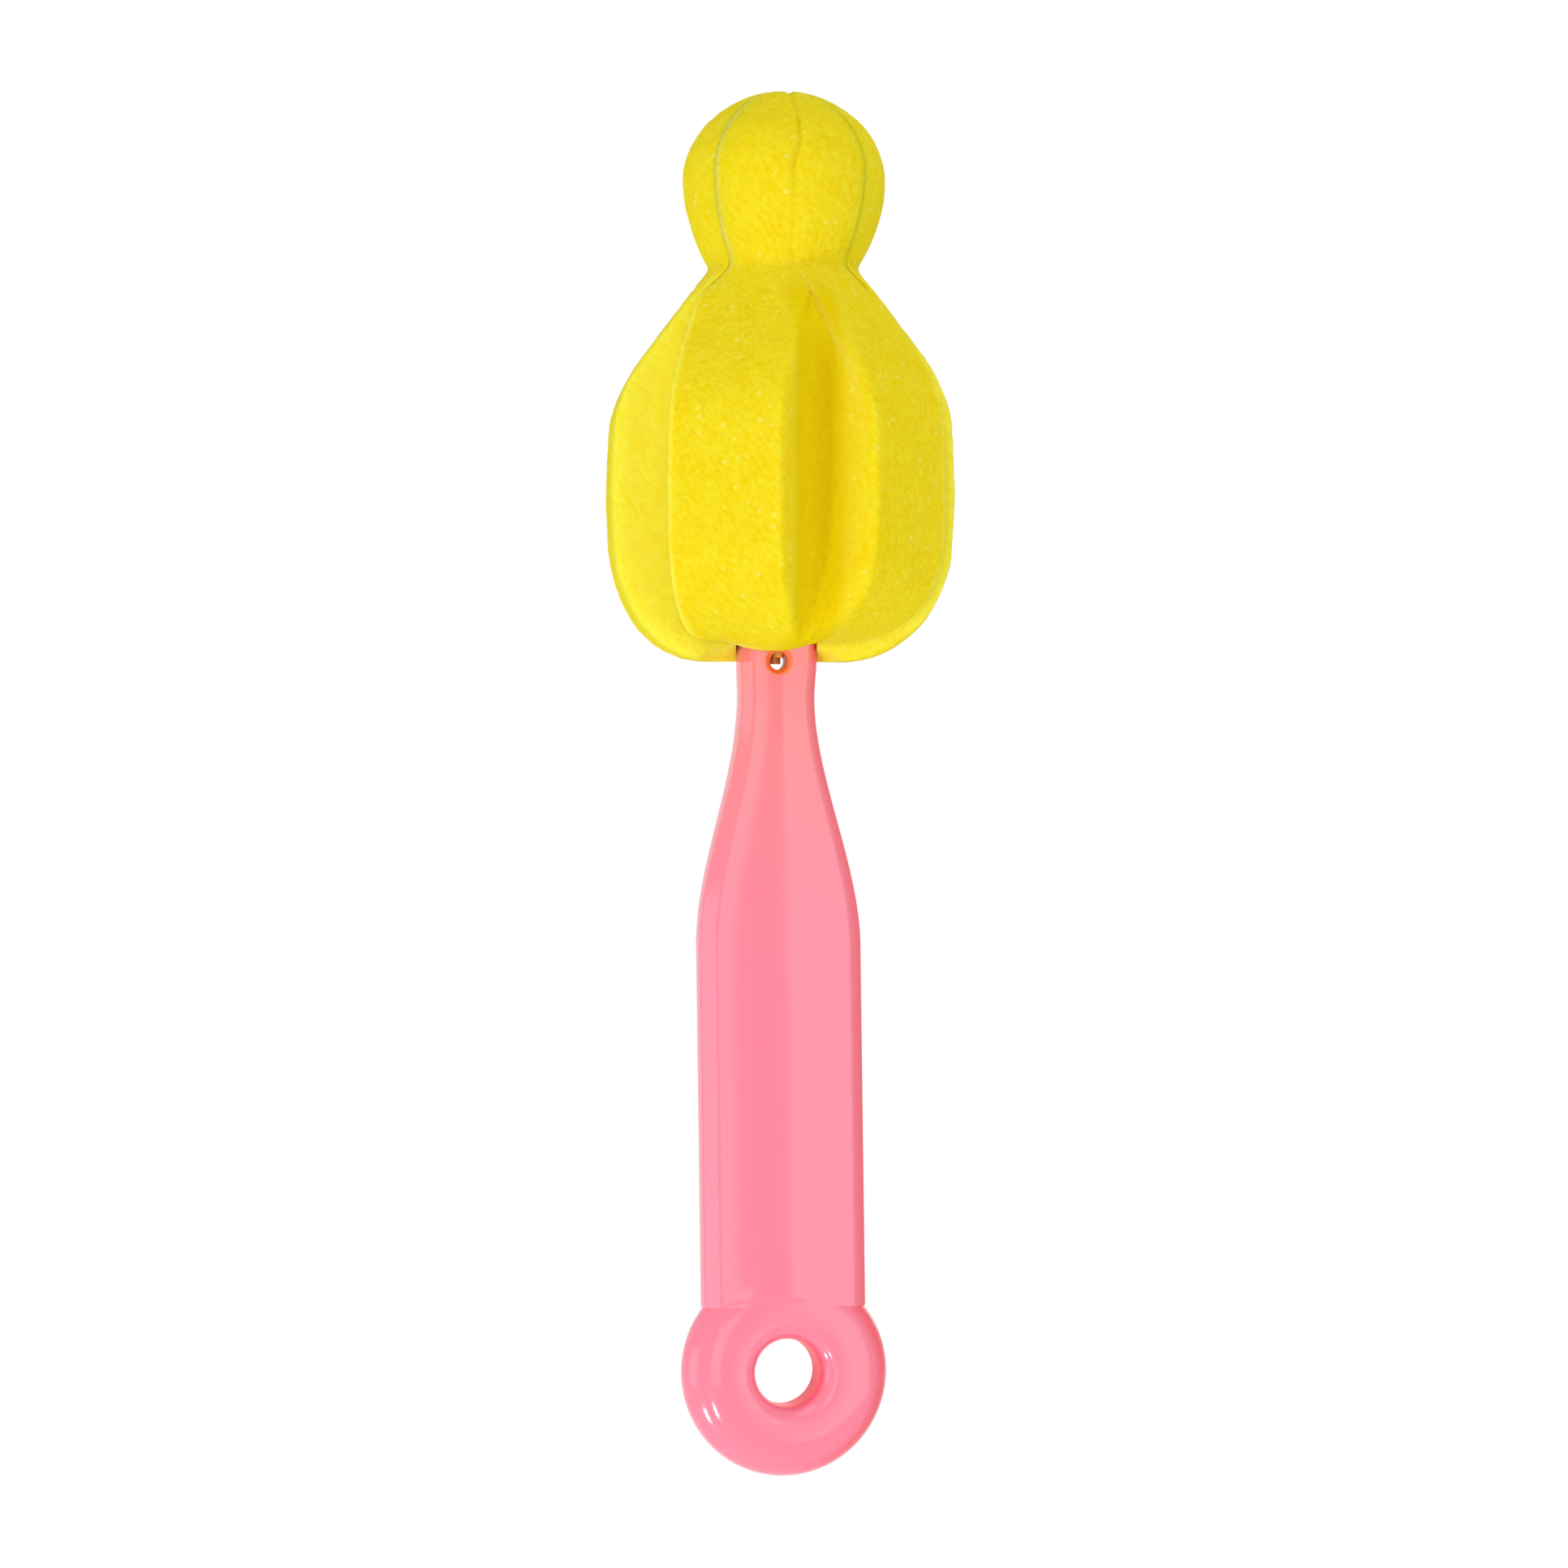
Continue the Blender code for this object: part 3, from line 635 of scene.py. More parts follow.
def ring_profile(round_steps, flare_steps):
    points = []
    for i in range(round_steps + 1):
        turn = math.radians(90 - 180 * i / round_steps)
        outward = max(math.cos(turn), 0) ** (2 / RING_SOFTNESS)
        level = math.copysign(abs(math.sin(turn)) ** (2 / RING_SOFTNESS), turn)
        points.append((RING_RADIUS - RING_SOFT_REACH * (1 - outward), RING_HALF * level))
    land_half = RING_HALF - HOLE_FLARE_RADIUS
    for side in (-1, 1):
        for i in range(flare_steps + 1):
            share = i / flare_steps
            turn = math.radians(90 * (share if side < 0 else 1 - share))
            radius = FLARE_MOUTH_RADIUS - HOLE_FLARE_RADIUS * math.sin(turn)
            points.append((radius, side * (land_half + HOLE_FLARE_RADIUS * math.cos(turn))))
    return points


def vent_profile():
    face = NECK_THICKNESS / 2
    reach = face + CUT_OVERSHOOT
    wide = VENT_RADIUS + VENT_COUNTERSINK
    side = [(wide + CUT_OVERSHOOT, reach), (wide, face), (VENT_RADIUS, face - VENT_COUNTERSINK)]
    lower = [(radius, -height) for radius, height in reversed(side)]
    return [(0, reach)] + side + lower + [(0, -reach)]


def make_handle():
    shoulder = np.linspace(GRIP_LENGTH, SHOULDER_END, 61)
    neck = np.linspace(SHOULDER_END, STUB_TOP, 13)[1:]
    blended = np.linspace(GRIP_END_HEIGHT, RING_BLEND_END, 21)[:-1]
    grip = np.linspace(RING_BLEND_END, GRIP_LENGTH, 8)[:-1]
    bar = mesh_from_grid("bar", bar_rows(np.concatenate([blended, grip, shoulder, neck])))
    edges = bar.modifiers.new("moulded_edges", "BEVEL")
    edges.width = MOULD_ROUND
    edges.segments = 3
    edges.limit_method = "ANGLE"
    edges.angle_limit = math.radians(25)
    apply_modifiers(bar)
    ring = turned_mesh("ring", ring_profile(40, 16), 192, 0)
    boolean(bar, "UNION", ring, "EXACT")
    vent = turned_mesh("vent", vent_profile(), 64, FOAM_BOTTOM)
    vent.data.transform(Matrix.Rotation(VENT_TURN, 4, "Z"))
    boolean(bar, "DIFFERENCE", vent, "EXACT")
    bore = cylinder("bore", BORE_RADIUS, BORE_BOTTOM, STUB_TOP + CUT_OVERSHOOT)
    boolean(bar, "DIFFERENCE", bore, "EXACT")
    bar.data.shade_smooth()
    bar.data.set_sharp_from_angle(angle=math.radians(28))
    mark_right_painted_shade(bar.data)
    return finish_piece(bar, "moulded_handle", plastic_material(), "pink_plastic", "handle")


def mark_right_painted_shade(mesh):
    """Stores where the bar's right chamfers and the ring's right rim are, for the painted shade that
    deepens the pink on that side.
    """
    x, _, z = vertex_places(mesh).astype(float).T
    half_width, _, _, chamfer = bar_sizes(z)
    bar = smooth_step((x - half_width + chamfer) / CHAMFER_PAINTED_SHADE_FADE)
    ring = smooth_step((np.hypot(x, z) - RING_RADIUS + RIM_PAINTED_SHADE_WIDTH) / RIM_PAINTED_SHADE_FADE)
    ring *= smooth_step(x / RING_RADIUS + 0.1)
    store_marks(mesh, {"rim": np.where(z > GRIP_END_HEIGHT, bar, ring)})


def cylinder(name, radius, low, high):
    """An upright cylinder on the axis, between two heights."""
    bm = bmesh.new()
    bmesh.ops.create_cone(
        bm, cap_ends=True, segments=48, radius1=radius, radius2=radius, depth=high - low
    )
    bmesh.ops.translate(bm, verts=bm.verts, vec=(0, 0, (low + high) / 2))
    return object_from(bm, name)


# Wire

def hairpin_route(lower_leg, back_end=None):
    """The wire's centre line in the plane X = 0, from (offset, height) points of its lower leg."""
    straight = np.linspace(lower_leg[-1][1], WIRE_BEND_HEIGHT, 25)[1:]
    leg = list(lower_leg) + [(LEG_OFFSET, height) for height in straight]
    bend = []
    for turn in np.linspace(0, math.pi, 33)[1:-1]:
        height = WIRE_BEND_HEIGHT + LEG_OFFSET * math.sin(turn)
        bend.append((-LEG_OFFSET * math.cos(turn), height))
    back_leg = leg if back_end is None else [back_end] + leg[1:]
    route = [(-y, z) for y, z in leg] + bend + [(y, z) for y, z in reversed(back_leg)]
    return [(0, y, z) for y, z in route]


def spread_points():
    shares = np.linspace(0, 1, 17)
    offsets = mix(BORE_LEG_OFFSET, LEG_OFFSET, smooth_step(shares))
    return list(zip(offsets, mix(STUB_TOP, SPREAD_END, shares)))


def start_tree(name, inputs):
    """A geometry tree with named inputs, and the sockets that they come from."""
    tree = bpy.data.node_groups.new(name, "GeometryNodeTree")
    for label, kind in {"Geometry": "Geometry", **inputs}.items():
        tree.interface.new_socket(label, in_out="INPUT", socket_type="NodeSocket" + kind)
    tree.interface.new_socket("Geometry", in_out="OUTPUT", socket_type="NodeSocketGeometry")
    return tree, tree.nodes.new("NodeGroupInput").outputs


def end_tree(tree, geometry, finish):
    """Makes a tree's result real, gives it its finish and hands it out."""
    real = add_node(tree, "GeometryNodeRealizeInstances", {"Geometry": geometry}).outputs["Geometry"]
    values = {"Geometry": real, "Material": finish}
    dressed = add_node(tree, "GeometryNodeSetMaterial", values).outputs["Geometry"]
    add_node(tree, "NodeGroupOutput", {"Geometry": dressed})
    return tree


def sweep_tree():
    """A round wire swept along a line of edges."""
    inputs = {"Wire Radius": "Float", "Sides": "Int", "Finish": "Material"}
    tree, given = start_tree("drawn_wire", inputs)
    route = add_node(tree, "GeometryNodeMeshToCurve", {"Mesh": given["Geometry"]}).outputs["Curve"]
    values = {"Resolution": given["Sides"], "Radius": given["Wire Radius"]}
    section = add_node(tree, "GeometryNodeCurvePrimitiveCircle", values, mode="RADIUS").outputs["Curve"]
    values = {"Curve": route, "Profile Curve": section, "Fill Caps": True}
    tube = add_node(tree, "GeometryNodeCurveToMesh", values).outputs["Mesh"]
    return end_tree(tree, tube, given["Finish"])


def grow(obj, tree, values):
    """Runs a geometry tree on an object with its named inputs set, and bakes the result."""
    modifier = obj.modifiers.new(tree.name, "NODES")
    modifier.node_group = tree
    for item in tree.interface.items_tree:
        if item.item_type == "SOCKET" and item.name in values:
            modifier[item.identifier] = values[item.name]
    return apply_modifiers(obj)


def swept_wire(name, route, radius, sides, material, tree):
    mesh = bpy.data.meshes.new(name)
    mesh.from_pydata(route, [(i, i + 1) for i in range(len(route) - 1)], [])
    obj = new_object(name, mesh)
    grow(obj, tree, {"Wire Radius": radius, "Sides": sides, "Finish": material})
    bm = bmesh.new()
    bm.from_mesh(obj.data)
    bmesh.ops.remove_doubles(bm, verts=bm.verts, dist=0.001 * MM)
    bmesh.ops.recalc_face_normals(bm, faces=bm.faces)
    bm.to_mesh(obj.data)
    bm.free()
    obj.data.shade_smooth()
    obj.data.set_sharp_from_angle(angle=math.radians(50))
    return obj


def make_wire(tree):
    material = wire_material()
    front_end, back_end = [(BORE_LEG_OFFSET, BORE_BOTTOM - peek) for peek in WIRE_END_PEEKS]
    route = hairpin_route([front_end] + spread_points(), back_end)
    wire = swept_wire("wire", route, WIRE_RADIUS, 24, material, tree)
    return finish_piece(wire, "bent_wire", material, "bright_wire", "wire_hairpin")


# Foam

def outline_radius(height, bottom):
    """The die cut outline: the foam's half width at each height."""
    up = (height - BULB_HEIGHT) / BULB_UPPER_REACH
    down = (BULB_HEIGHT - height) / BULB_LOWER_REACH
    reach = np.maximum(up, down)
    bulb = BULB_RADIUS * np.maximum(1 - reach**BULB_ROUNDNESS, 0) ** (1 / BULB_ROUNDNESS)
    slope = (SLOPE_BASE_RADIUS - PINCH_RADIUS) / PINCH_RISE
    shoulder = PINCH_RADIUS + (PINCH_HEIGHT - height) * slope
    from_widest = np.maximum(height, BODY_CORNER_HEIGHT) - BODY_WIDE_HEIGHT
    flank = BODY_RADIUS - from_widest**2 / (2 * BODY_BULGE_RADIUS)
    drop = np.clip((BODY_CORNER_HEIGHT - height) / (BODY_CORNER_HEIGHT - bottom), 0, 1)
    flank = FOAM_FLAT_RADIUS + (flank - FOAM_FLAT_RADIUS) * np.sqrt(1 - drop * drop)
    return soft_max(bulb, soft_min(shoulder, flank, SLOPE_BLEND), PINCH_BLEND)


def outline_heights(bottom):
    """Heights that step evenly along the outline, from the flat bottom to the bulb's top flat."""
    rise = (1 - (BULB_TOP_FLAT_RADIUS / BULB_RADIUS) ** BULB_ROUNDNESS) ** (1 / BULB_ROUNDNESS)
    top = BULB_HEIGHT + BULB_UPPER_REACH * rise
    fine = mix(bottom, top, (1 - np.cos(np.linspace(0, math.pi, 4001))) / 2)
    radii = outline_radius(fine, bottom)
    lengths = np.concatenate([[0], np.cumsum(np.hypot(np.diff(fine), np.diff(radii)))])
    count = int(lengths[-1] / SKIN_STEP) + 1
    return np.interp(np.linspace(0, lengths[-1], count), lengths, fine)


def bulb_share(heights):
    """0 on the body and 1 on the bulb, with the change at the pinched neck."""
    above_start = heights - PINCH_HEIGHT + PINCH_REACH_BELOW
    return smooth_step(above_start / (PINCH_REACH_BELOW + PINCH_REACH_ABOVE))


def slab_angles(heights):
    """Directions of the front slab's creases, lobes and fold, from its left crease to its right one."""
    share = bulb_share(heights)
    drift = smooth_step((heights - BULB_HEIGHT) / TOP_FOLD_RISE) * BULB_TOP_FOLD_TURN
    fold = mix(FOLD_ANGLE, BULB_FOLD_ANGLE + drift, share)
    right = mix((MIDDLE_LOBE_ANGLE + RIGHT_LOBE_ANGLE) / 2, WEB_TURN + BULB_CREASE_SPREAD, share)
    left = (MIDDLE_LOBE_ANGLE - math.pi + LEFT_LOBE_ANGLE) / 2
    left = mix(left, WEB_TURN - BULB_CREASE_SPREAD, share)
    left_lobe = mix(LEFT_LOBE_ANGLE, (left + fold) / 2, share)
    right_lobe = mix(RIGHT_LOBE_ANGLE, (fold + right) / 2, share)
    return left, left_lobe, fold, right_lobe, right


def half_thickness(heights, fold_side):
    on_body = fold_side[0] if fold_side else FOAM_THICKNESS / 2
    return mix(on_body, BULB_LOBE_THICKNESS / 2, bulb_share(heights))


def lobe_radius(heights, outline, offset, spacing, fold_side):
    """Distance from the axis to a lobe's surface, at an angle from the lobe's own direction."""
    share = bulb_share(heights)
    flatness = BODY_FLAT_SHARE * (1 - share)
    face = outline * (1 + flatness * (1 / np.cos(offset) - 1))
    wall = half_thickness(heights, fold_side) / np.sin(np.maximum(offset, 1e-4))
    softness = OUTER_EDGE_BLEND
    if fold_side:
        from_fold = smooth_step(outline * (spacing - offset) / FOLD_MEET_REACH)
        softness = mix(FOLD_MEET_SOFTNESS, fold_side[1], from_fold)
    radius = soft_min(face, wall, softness)
    to_crease = radius * (spacing - offset)
    if not fold_side:
        rounding = mix(CREASE_ROUND, BULB_CREASE_ROUND, share)
        inside = np.clip(rounding - to_crease, 0, rounding)
        return radius - rounding + np.sqrt(rounding**2 - inside**2)
    near = np.maximum(FOLD_FILL - to_crease, 0)
    fill = near**2 / (2 * FOLD_FILL * math.tan(LOBE_SPACING / 2))
    filled = radius + fill * smooth_step((face - wall) / FOLD_FILL_START)
    near_top = smooth_step((heights - BULB_HEIGHT) / TOP_FOLD_RISE + 1)
    depth = mix(BULB_FOLD_DEPTH, TOP_FOLD_DEPTH, near_top)
    pressed = radius - depth * np.maximum(1 - to_crease / BULB_FOLD_WIDTH, 0) ** 2
    return mix(filled, pressed, share)


def lobe_side(heights, outline, spacing, fold_side):
    """Angles and radii from a lobe's direction out to its crease, a row for each height."""
    half = half_thickness(heights, fold_side)[:, None]
    crease = spacing[:, None]
    edge = np.minimum(np.arctan2(half, outline[:, None]), WIDEST_FACE_SHARE * crease)
    face = edge * np.arange(1, FACE_STEPS + 1) / FACE_STEPS
    wall_shares = 1 - (1 - np.arange(1, WALL_STEPS + 1) / WALL_STEPS) ** WALL_CROWDING
    reach = mix(half / np.tan(edge), half / np.tan(crease), wall_shares)
    offsets = np.concatenate([face, np.arctan2(half, reach)], axis=1)
    offsets[:, -1] = spacing
    return offsets, lobe_radius(heights[:, None], outline[:, None], offsets, crease, fold_side)


def lobe_rows(heights, outline, direction, before, after, fold_before=None, fold_after=None):
    """A lobe's outer face in plan at each height, anticlockwise from above, between its two creases."""
    direction = np.broadcast_to(direction, heights.shape)
    sides = []
    for side, crease, fold_side in ((-1, before, fold_before), (1, after, fold_after)):
        offsets, radii = lobe_side(heights, outline, side * (crease - direction), fold_side)
        angle = direction[:, None] + side * offsets
        points = np.stack([radii * np.sin(angle), -radii * np.cos(angle)], axis=-1)
        inward = -side * np.stack([np.cos(crease), np.sin(crease)], axis=-1)[:, None]
        clear = (points * inward).sum(axis=-1, keepdims=True)
        points = points + np.maximum(PRESSED_GAP / 2 - clear, 0) * inward
        sides.append(points)
    crown = outline[:, None] * np.stack([np.sin(direction), -np.cos(direction)], axis=-1)
    return np.concatenate([sides[0][:, ::-1], crown[:, None], sides[1]], axis=1)


def line_rows(start, end):
    """Points between two ends at each height, closer together towards the start."""
    shares = np.array([0.03, 0.08, 0.16, 0.28, 0.45, 0.7])
    return start[:, None] + (end - start)[:, None] * shares[None, :, None]


def crease_foot(crease, side, level):
    """Where a slab's crease plane meets a level over the web; side is 1 past the crease, else -1."""
    inward = side * np.stack([np.cos(crease), np.sin(crease)], axis=-1)
    outward = np.stack([np.sin(crease), -np.cos(crease)], axis=-1)
    across = np.array([-math.sin(WEB_TURN), math.cos(WEB_TURN)])
    start = inward * PRESSED_GAP / 2
    return start + outward * ((level - start @ across) / (outward @ across))[:, None]


def folded_rows(heights, outline):
    """Plan of the front slab: two lobes in a V, joined by the web behind the wire."""
    left, left_lobe, fold, right_lobe, right = slab_angles(heights)
    first = lobe_rows(heights, outline, left_lobe, left, fold, fold_after=LEFT_OF_FOLD)
    second = lobe_rows(heights, outline, right_lobe, fold, right, fold_before=RIGHT_OF_FOLD)
    valley = (first[:, -1] + second[:, 0]) / 2
    web = -(WEB_THICKNESS / 2 + PRESSED_GAP)
    last_foot = crease_foot(right, -1, web)
    first_foot = crease_foot(left, 1, web)
    inner_last = line_rows(second[:, -1], last_foot)
    inner_first = line_rows(first[:, 0], first_foot)[:, ::-1]
    parts = [first[:, :-1], valley[:, None], second[:, 1:], inner_last, last_foot[:, None]]
    return np.concatenate(parts + [first_foot[:, None], inner_first], axis=1)


def middle_rows(heights, outline):
    """Plan of the middle slab: a lobe to each side, drawn in to the web at the axis."""
    left, _, _, _, right = slab_angles(heights)
    lobe = lobe_rows(heights, outline, MIDDLE_LOBE_ANGLE, right, left + math.pi)
    near_foot = crease_foot(right, 1, -WEB_THICKNESS / 2)
    far_foot = crease_foot(left + math.pi, -1, WEB_THICKNESS / 2)
    into = line_rows(lobe[:, -1], far_foot)
    out_of = line_rows(lobe[:, 0], near_foot)[:, ::-1]
    half = np.concatenate([near_foot[:, None], out_of, lobe, into, far_foot[:, None]], axis=1)
    return np.concatenate([half, -half], axis=1)


def slab_mesh(name, plan_rows, centre_y, bottom, turned):
    """A slab's closed mesh: its underside, its wall and its small top, all in fine rings."""
    heights = outline_heights(bottom)
    plans = plan_rows(heights, outline_radius(heights, bottom))
    centre = np.array([0, centre_y])
    shares = np.linspace(0, 1, CAP_RINGS + 1)[1:-1] ** CAP_CROWDING
    lower = [centre + (plans[0] - centre) * share for share in shares]
    upper = [centre + (plans[-1] - centre) * share for share in shares[::-3]]
    plan = np.concatenate([np.array(lower), plans, np.array(upper)])
    levels = np.concatenate([np.full(len(lower), bottom), heights, np.full(len(upper), heights[-1])])
    rows = np.concatenate([plan, np.broadcast_to(levels[:, None, None], plan.shape[:2] + (1,))], axis=2)
    if turned:
        rows = rows * np.array([-1, -1, 1])
    return mesh_from_grid(name, rows)


def plate(name, low, high):
    """A box between two corners."""
    bm = bmesh.new()
    bmesh.ops.create_cube(bm, size=1)
    size = Vector(high) - Vector(low)
    bmesh.ops.scale(bm, vec=size, verts=bm.verts)
    bmesh.ops.translate(bm, vec=(Vector(low) + Vector(high)) / 2, verts=bm.verts)
    return object_from(bm, name)


def relieve(slab):
    """Clears the middle slab's foam away in front of the neck, and scoops its underside out there."""
    turn = Matrix.Rotation(RELIEF_TURN, 4, "Z")
    low = RELIEF_LOW + (FOAM_BOTTOM - MM,)
    relief = plate("relief", low, RELIEF_HIGH + (FOAM_BOTTOM + RELIEF_HEIGHT,))
    relief.data.transform(turn)
    boolean(slab, "DIFFERENCE", relief)
    bm = bmesh.new()
    bmesh.ops.create_uvsphere(bm, u_segments=64, v_segments=32, radius=1)
    bmesh.ops.scale(bm, vec=SCOOP_REACH, verts=bm.verts)
    bmesh.ops.translate(bm, vec=Vector(SCOOP_CENTRE) + Vector((0, 0, FOAM_BOTTOM)), verts=bm.verts)
    bmesh.ops.transform(bm, matrix=turn, verts=bm.verts)
    boolean(slab, "DIFFERENCE", object_from(bm, "scoop"))


def sag(mesh, bottom):
    """Lets a slab's underside hang lowest near its middle."""
    places = vertex_places(mesh)
    aside = smooth_step(np.abs(places[:, 0] - SAG_CENTRE) / SAG_HALF_WIDTH)
    places[:, 2] += SAG_DEPTH * aside * smooth_step(1 - (places[:, 2] - bottom) / SAG_FADE)
    move_vertices(mesh, places)


def cut_slab(slab, wire_tree):
    """Cuts the stub's pocket, the wire's channel and the notch over its bend."""
    pocket_heights = np.array([SHOULDER_END, FOAM_BOTTOM, STUB_TOP + PRESSED_GAP])
    boolean(slab, "DIFFERENCE", mesh_from_grid("pocket", bar_rows(pocket_heights, PRESSED_GAP)))
    throat = plate(
        "throat",
        (-CHANNEL_RADIUS, -BORE_LEG_OFFSET - CHANNEL_RADIUS, STUB_TOP - SEAT_GAP),
        (CHANNEL_RADIUS, BORE_LEG_OFFSET + CHANNEL_RADIUS, SPREAD_END - CHANNEL_RADIUS),
    )
    boolean(slab, "DIFFERENCE", throat)
    channel_route = hairpin_route([(LEG_OFFSET, SPREAD_END - 2 * CHANNEL_RADIUS)])
    channel = swept_wire("channel", channel_route, CHANNEL_RADIUS, 16, None, wire_tree)
    boolean(slab, "DIFFERENCE", channel)
    reach = LEG_OFFSET + CHANNEL_RADIUS
    notch = plate(
        "notch",
        (-PINCH_SLOT_WIDTH / 2, -reach, WIRE_BEND_HEIGHT + LEG_OFFSET),
        (PINCH_SLOT_WIDTH / 2, reach, FOAM_TOP + SEAT_GAP),
    )
    boolean(slab, "DIFFERENCE", notch)


def lobe_sides(heights):
    """Half of the lobes' sides: side, direction, crease, fold's side, paleness of the cut edge (wear, and
    a painted highlight on lit corners) and fade of the cut edge.
    """
    left, left_lobe, fold, right_lobe, right = slab_angles(heights)
    on_body = 1 - bulb_share(heights)
    on_shoulder = smooth_step((heights - BODY_WIDE_HEIGHT) / (SLOPE_BASE_HEIGHT - BODY_WIDE_HEIGHT))
    return (
        (-1, left_lobe, left, None, mix(0.4, 0.22, on_body), CRISP_FACE_EDGE),
        (1, left_lobe, fold, LEFT_OF_FOLD, 0.0, CRISP_FACE_EDGE),
        # Painted highlight: the pale ridge on the right lobe's fold-side corner over the shoulder
        (-1, right_lobe, fold, RIGHT_OF_FOLD, 0.14 * on_shoulder * on_body, CRISP_FACE_EDGE),
        (1, right_lobe, right, None, 0.35 * on_body, CRISP_FACE_EDGE),
        (-1, MIDDLE_LOBE_ANGLE, right, None, 0.1 * on_body, CRISP_FACE_EDGE),
        (1, MIDDLE_LOBE_ANGLE, left + math.pi, None, 0.0, SOFT_FACE_EDGE),
    )


def mark_skin(slab, bottom):
    """Stores where the outer skin is, where its faces are, the painted shade along the front slab's fold,
    and where the pale cut edges and painted highlights run.
    """
    x, y, z = vertex_places(slab.data).astype(float).T
    first_crease = slab_angles(z)[0]
    angle = first_crease + np.mod(np.arctan2(x, -y) - first_crease, math.pi)
    radius = np.hypot(x, y)
    outline = np.maximum(outline_radius(np.clip(z, bottom, FOAM_TOP), bottom), BULB_TOP_FLAT_RADIUS)
    marks = {name: np.zeros(len(z)) for name in ("skin", "cut_edge_and_highlight", "face", "fold")}
    for side, direction, crease, fold_side, wear_and_highlight, edge_fade in lobe_sides(z):
        corner = np.arctan2(half_thickness(z, fold_side), outline)
        offset = side * (angle - direction)
        spacing = side * (crease - direction)
        here = (offset >= 0) & (offset <= spacing)
        inside = np.clip(offset, 0, spacing)
        expected = lobe_radius(z, outline, inside, spacing, fold_side)
        on_skin = smooth_step((radius - expected) / SKIN_DEPTH + 1)
        under = (z < bottom + 0.01 * MM) * smooth_step((radius - UNDERSIDE_SKIN_RADIUS) / MM)
        to_crease = radius * np.sin(spacing - inside)
        outer = np.maximum(on_skin, under)
        line_place = np.minimum(corner, spacing - CUT_EDGE_INSET / outline)
        line = np.exp(-((outline * (offset - line_place) / CUT_EDGE_WIDTH) ** 2)) * on_skin
        held = 1.0 if fold_side else smooth_step(to_crease / CREASE_FADE)
        face = np.maximum(smooth_step(outline * (corner - offset) / edge_fade), bulb_share(z))
        # On the front slab's fold: painted shade, deepest at the crease
        shade = 0
        if fold_side:
            shade = smooth_step((FOLD_SHADE_REACH - to_crease) / FOLD_SHADE_FADE)
            face = 1 - 0.8 * shade * (1 - bulb_share(z))
        values = {
            "skin": outer * held,
            "cut_edge_and_highlight": wear_and_highlight * line,
            "face": face * on_skin,
            "fold": shade * (1 - bulb_share(z)),
        }
        for mark, value in values.items():
            marks[mark] = np.where(here, value, marks[mark])
    store_marks(slab.data, marks)


def foam_tree():
    """Uneven softness, open cells and torn pores pressed into the foam's skin."""
    sizes = ("Lump Size", "Lump Height", "Grain Size", "Grain Height", "Pore Spacing", "Pore Depth")
    tree, given = start_tree("open_cell_skin", {**dict.fromkeys(sizes, "Float"), "Finish": "Material"})
    place = tree.nodes.new("GeometryNodeInputPosition").outputs["Position"]

    def wavy(size, height, detail):
        scale = math_node(tree, "DIVIDE", 1.0, size)
        values = {"Vector": place, "Scale": scale, "Detail": detail}
        wave = add_node(tree, "ShaderNodeTexNoise", values).outputs[0]
        return math_node(tree, "MULTIPLY", math_node(tree, "SUBTRACT", wave, 0.5), height)

    lumps = wavy(given["Lump Size"], given["Lump Height"], 1.0)
    grain = wavy(given["Grain Size"], given["Grain Height"], 2.0)
    scale = math_node(tree, "DIVIDE", 1.0, given["Pore Spacing"])
    pit = map_range(tree, cells(tree, place, scale)["Distance"], 0.12, 0.5, 1.0, 0.0)
    pits = math_node(tree, "MULTIPLY", pit, given["Pore Depth"])
    raised = math_node(tree, "SUBTRACT", math_node(tree, "ADD", lumps, grain), pits)
    skin = add_node(tree, "GeometryNodeInputNamedAttribute", {"Name": "skin"}, data_type="FLOAT")
    amount = math_node(tree, "MULTIPLY", raised, skin.outputs["Attribute"])
    outward = tree.nodes.new("GeometryNodeInputNormal").outputs["Normal"]
    values = {0: outward, "Scale": amount}
    shift = add_node(tree, "ShaderNodeVectorMath", values, operation="SCALE").outputs["Vector"]
    values = {"Geometry": given["Geometry"], "Offset": shift}
    moved = add_node(tree, "GeometryNodeSetPosition", values).outputs["Geometry"]
    return end_tree(tree, moved, given["Finish"])


FOAM_SKIN = {
    "Lump Size": 5 * MM,
    "Lump Height": 0.3 * MM,
    "Grain Size": 0.7 * MM,
    "Grain Height": 0.16 * MM,
    "Pore Spacing": 0.95 * MM,
    "Pore Depth": 0.13 * MM,
}


def make_foam(wire_tree):
    material = foam_material()
    tree = foam_tree()
    web = WEB_THICKNESS / 2 + PRESSED_GAP
    lifted = FOAM_BOTTOM + FRONT_FOAM_LIFT
    slabs = (
        ("foam_front_slab", "front_foam", folded_rows, -web, lifted, False),
        ("foam_middle_slab", "middle_foam", middle_rows, 0, FOAM_BOTTOM, False),
        ("foam_back_slab", "back_foam", folded_rows, -web, lifted, True),
    )
    for name, node, plan_rows, centre_y, bottom, turned in slabs:
        slab = slab_mesh(node + "_skin", plan_rows, centre_y, bottom, turned)
        cut_slab(slab, wire_tree)
        if bottom == FOAM_BOTTOM:
            relieve(slab)
        mark_skin(slab, bottom)
        if bottom > FOAM_BOTTOM:
            sag(slab.data, bottom)
        grow(slab, tree, {**FOAM_SKIN, "Finish": material})
        slab.data.shade_smooth()
        slab.data.set_sharp_from_angle(angle=math.radians(60))
        finish_piece(slab, name, material, "yellow_foam", node)


# Studio

WORLD_LIGHT = 0.6
FLOOR_GREY = (0.82, 0.82, 0.82, 1)
FLOOR_GLOW = 0.6

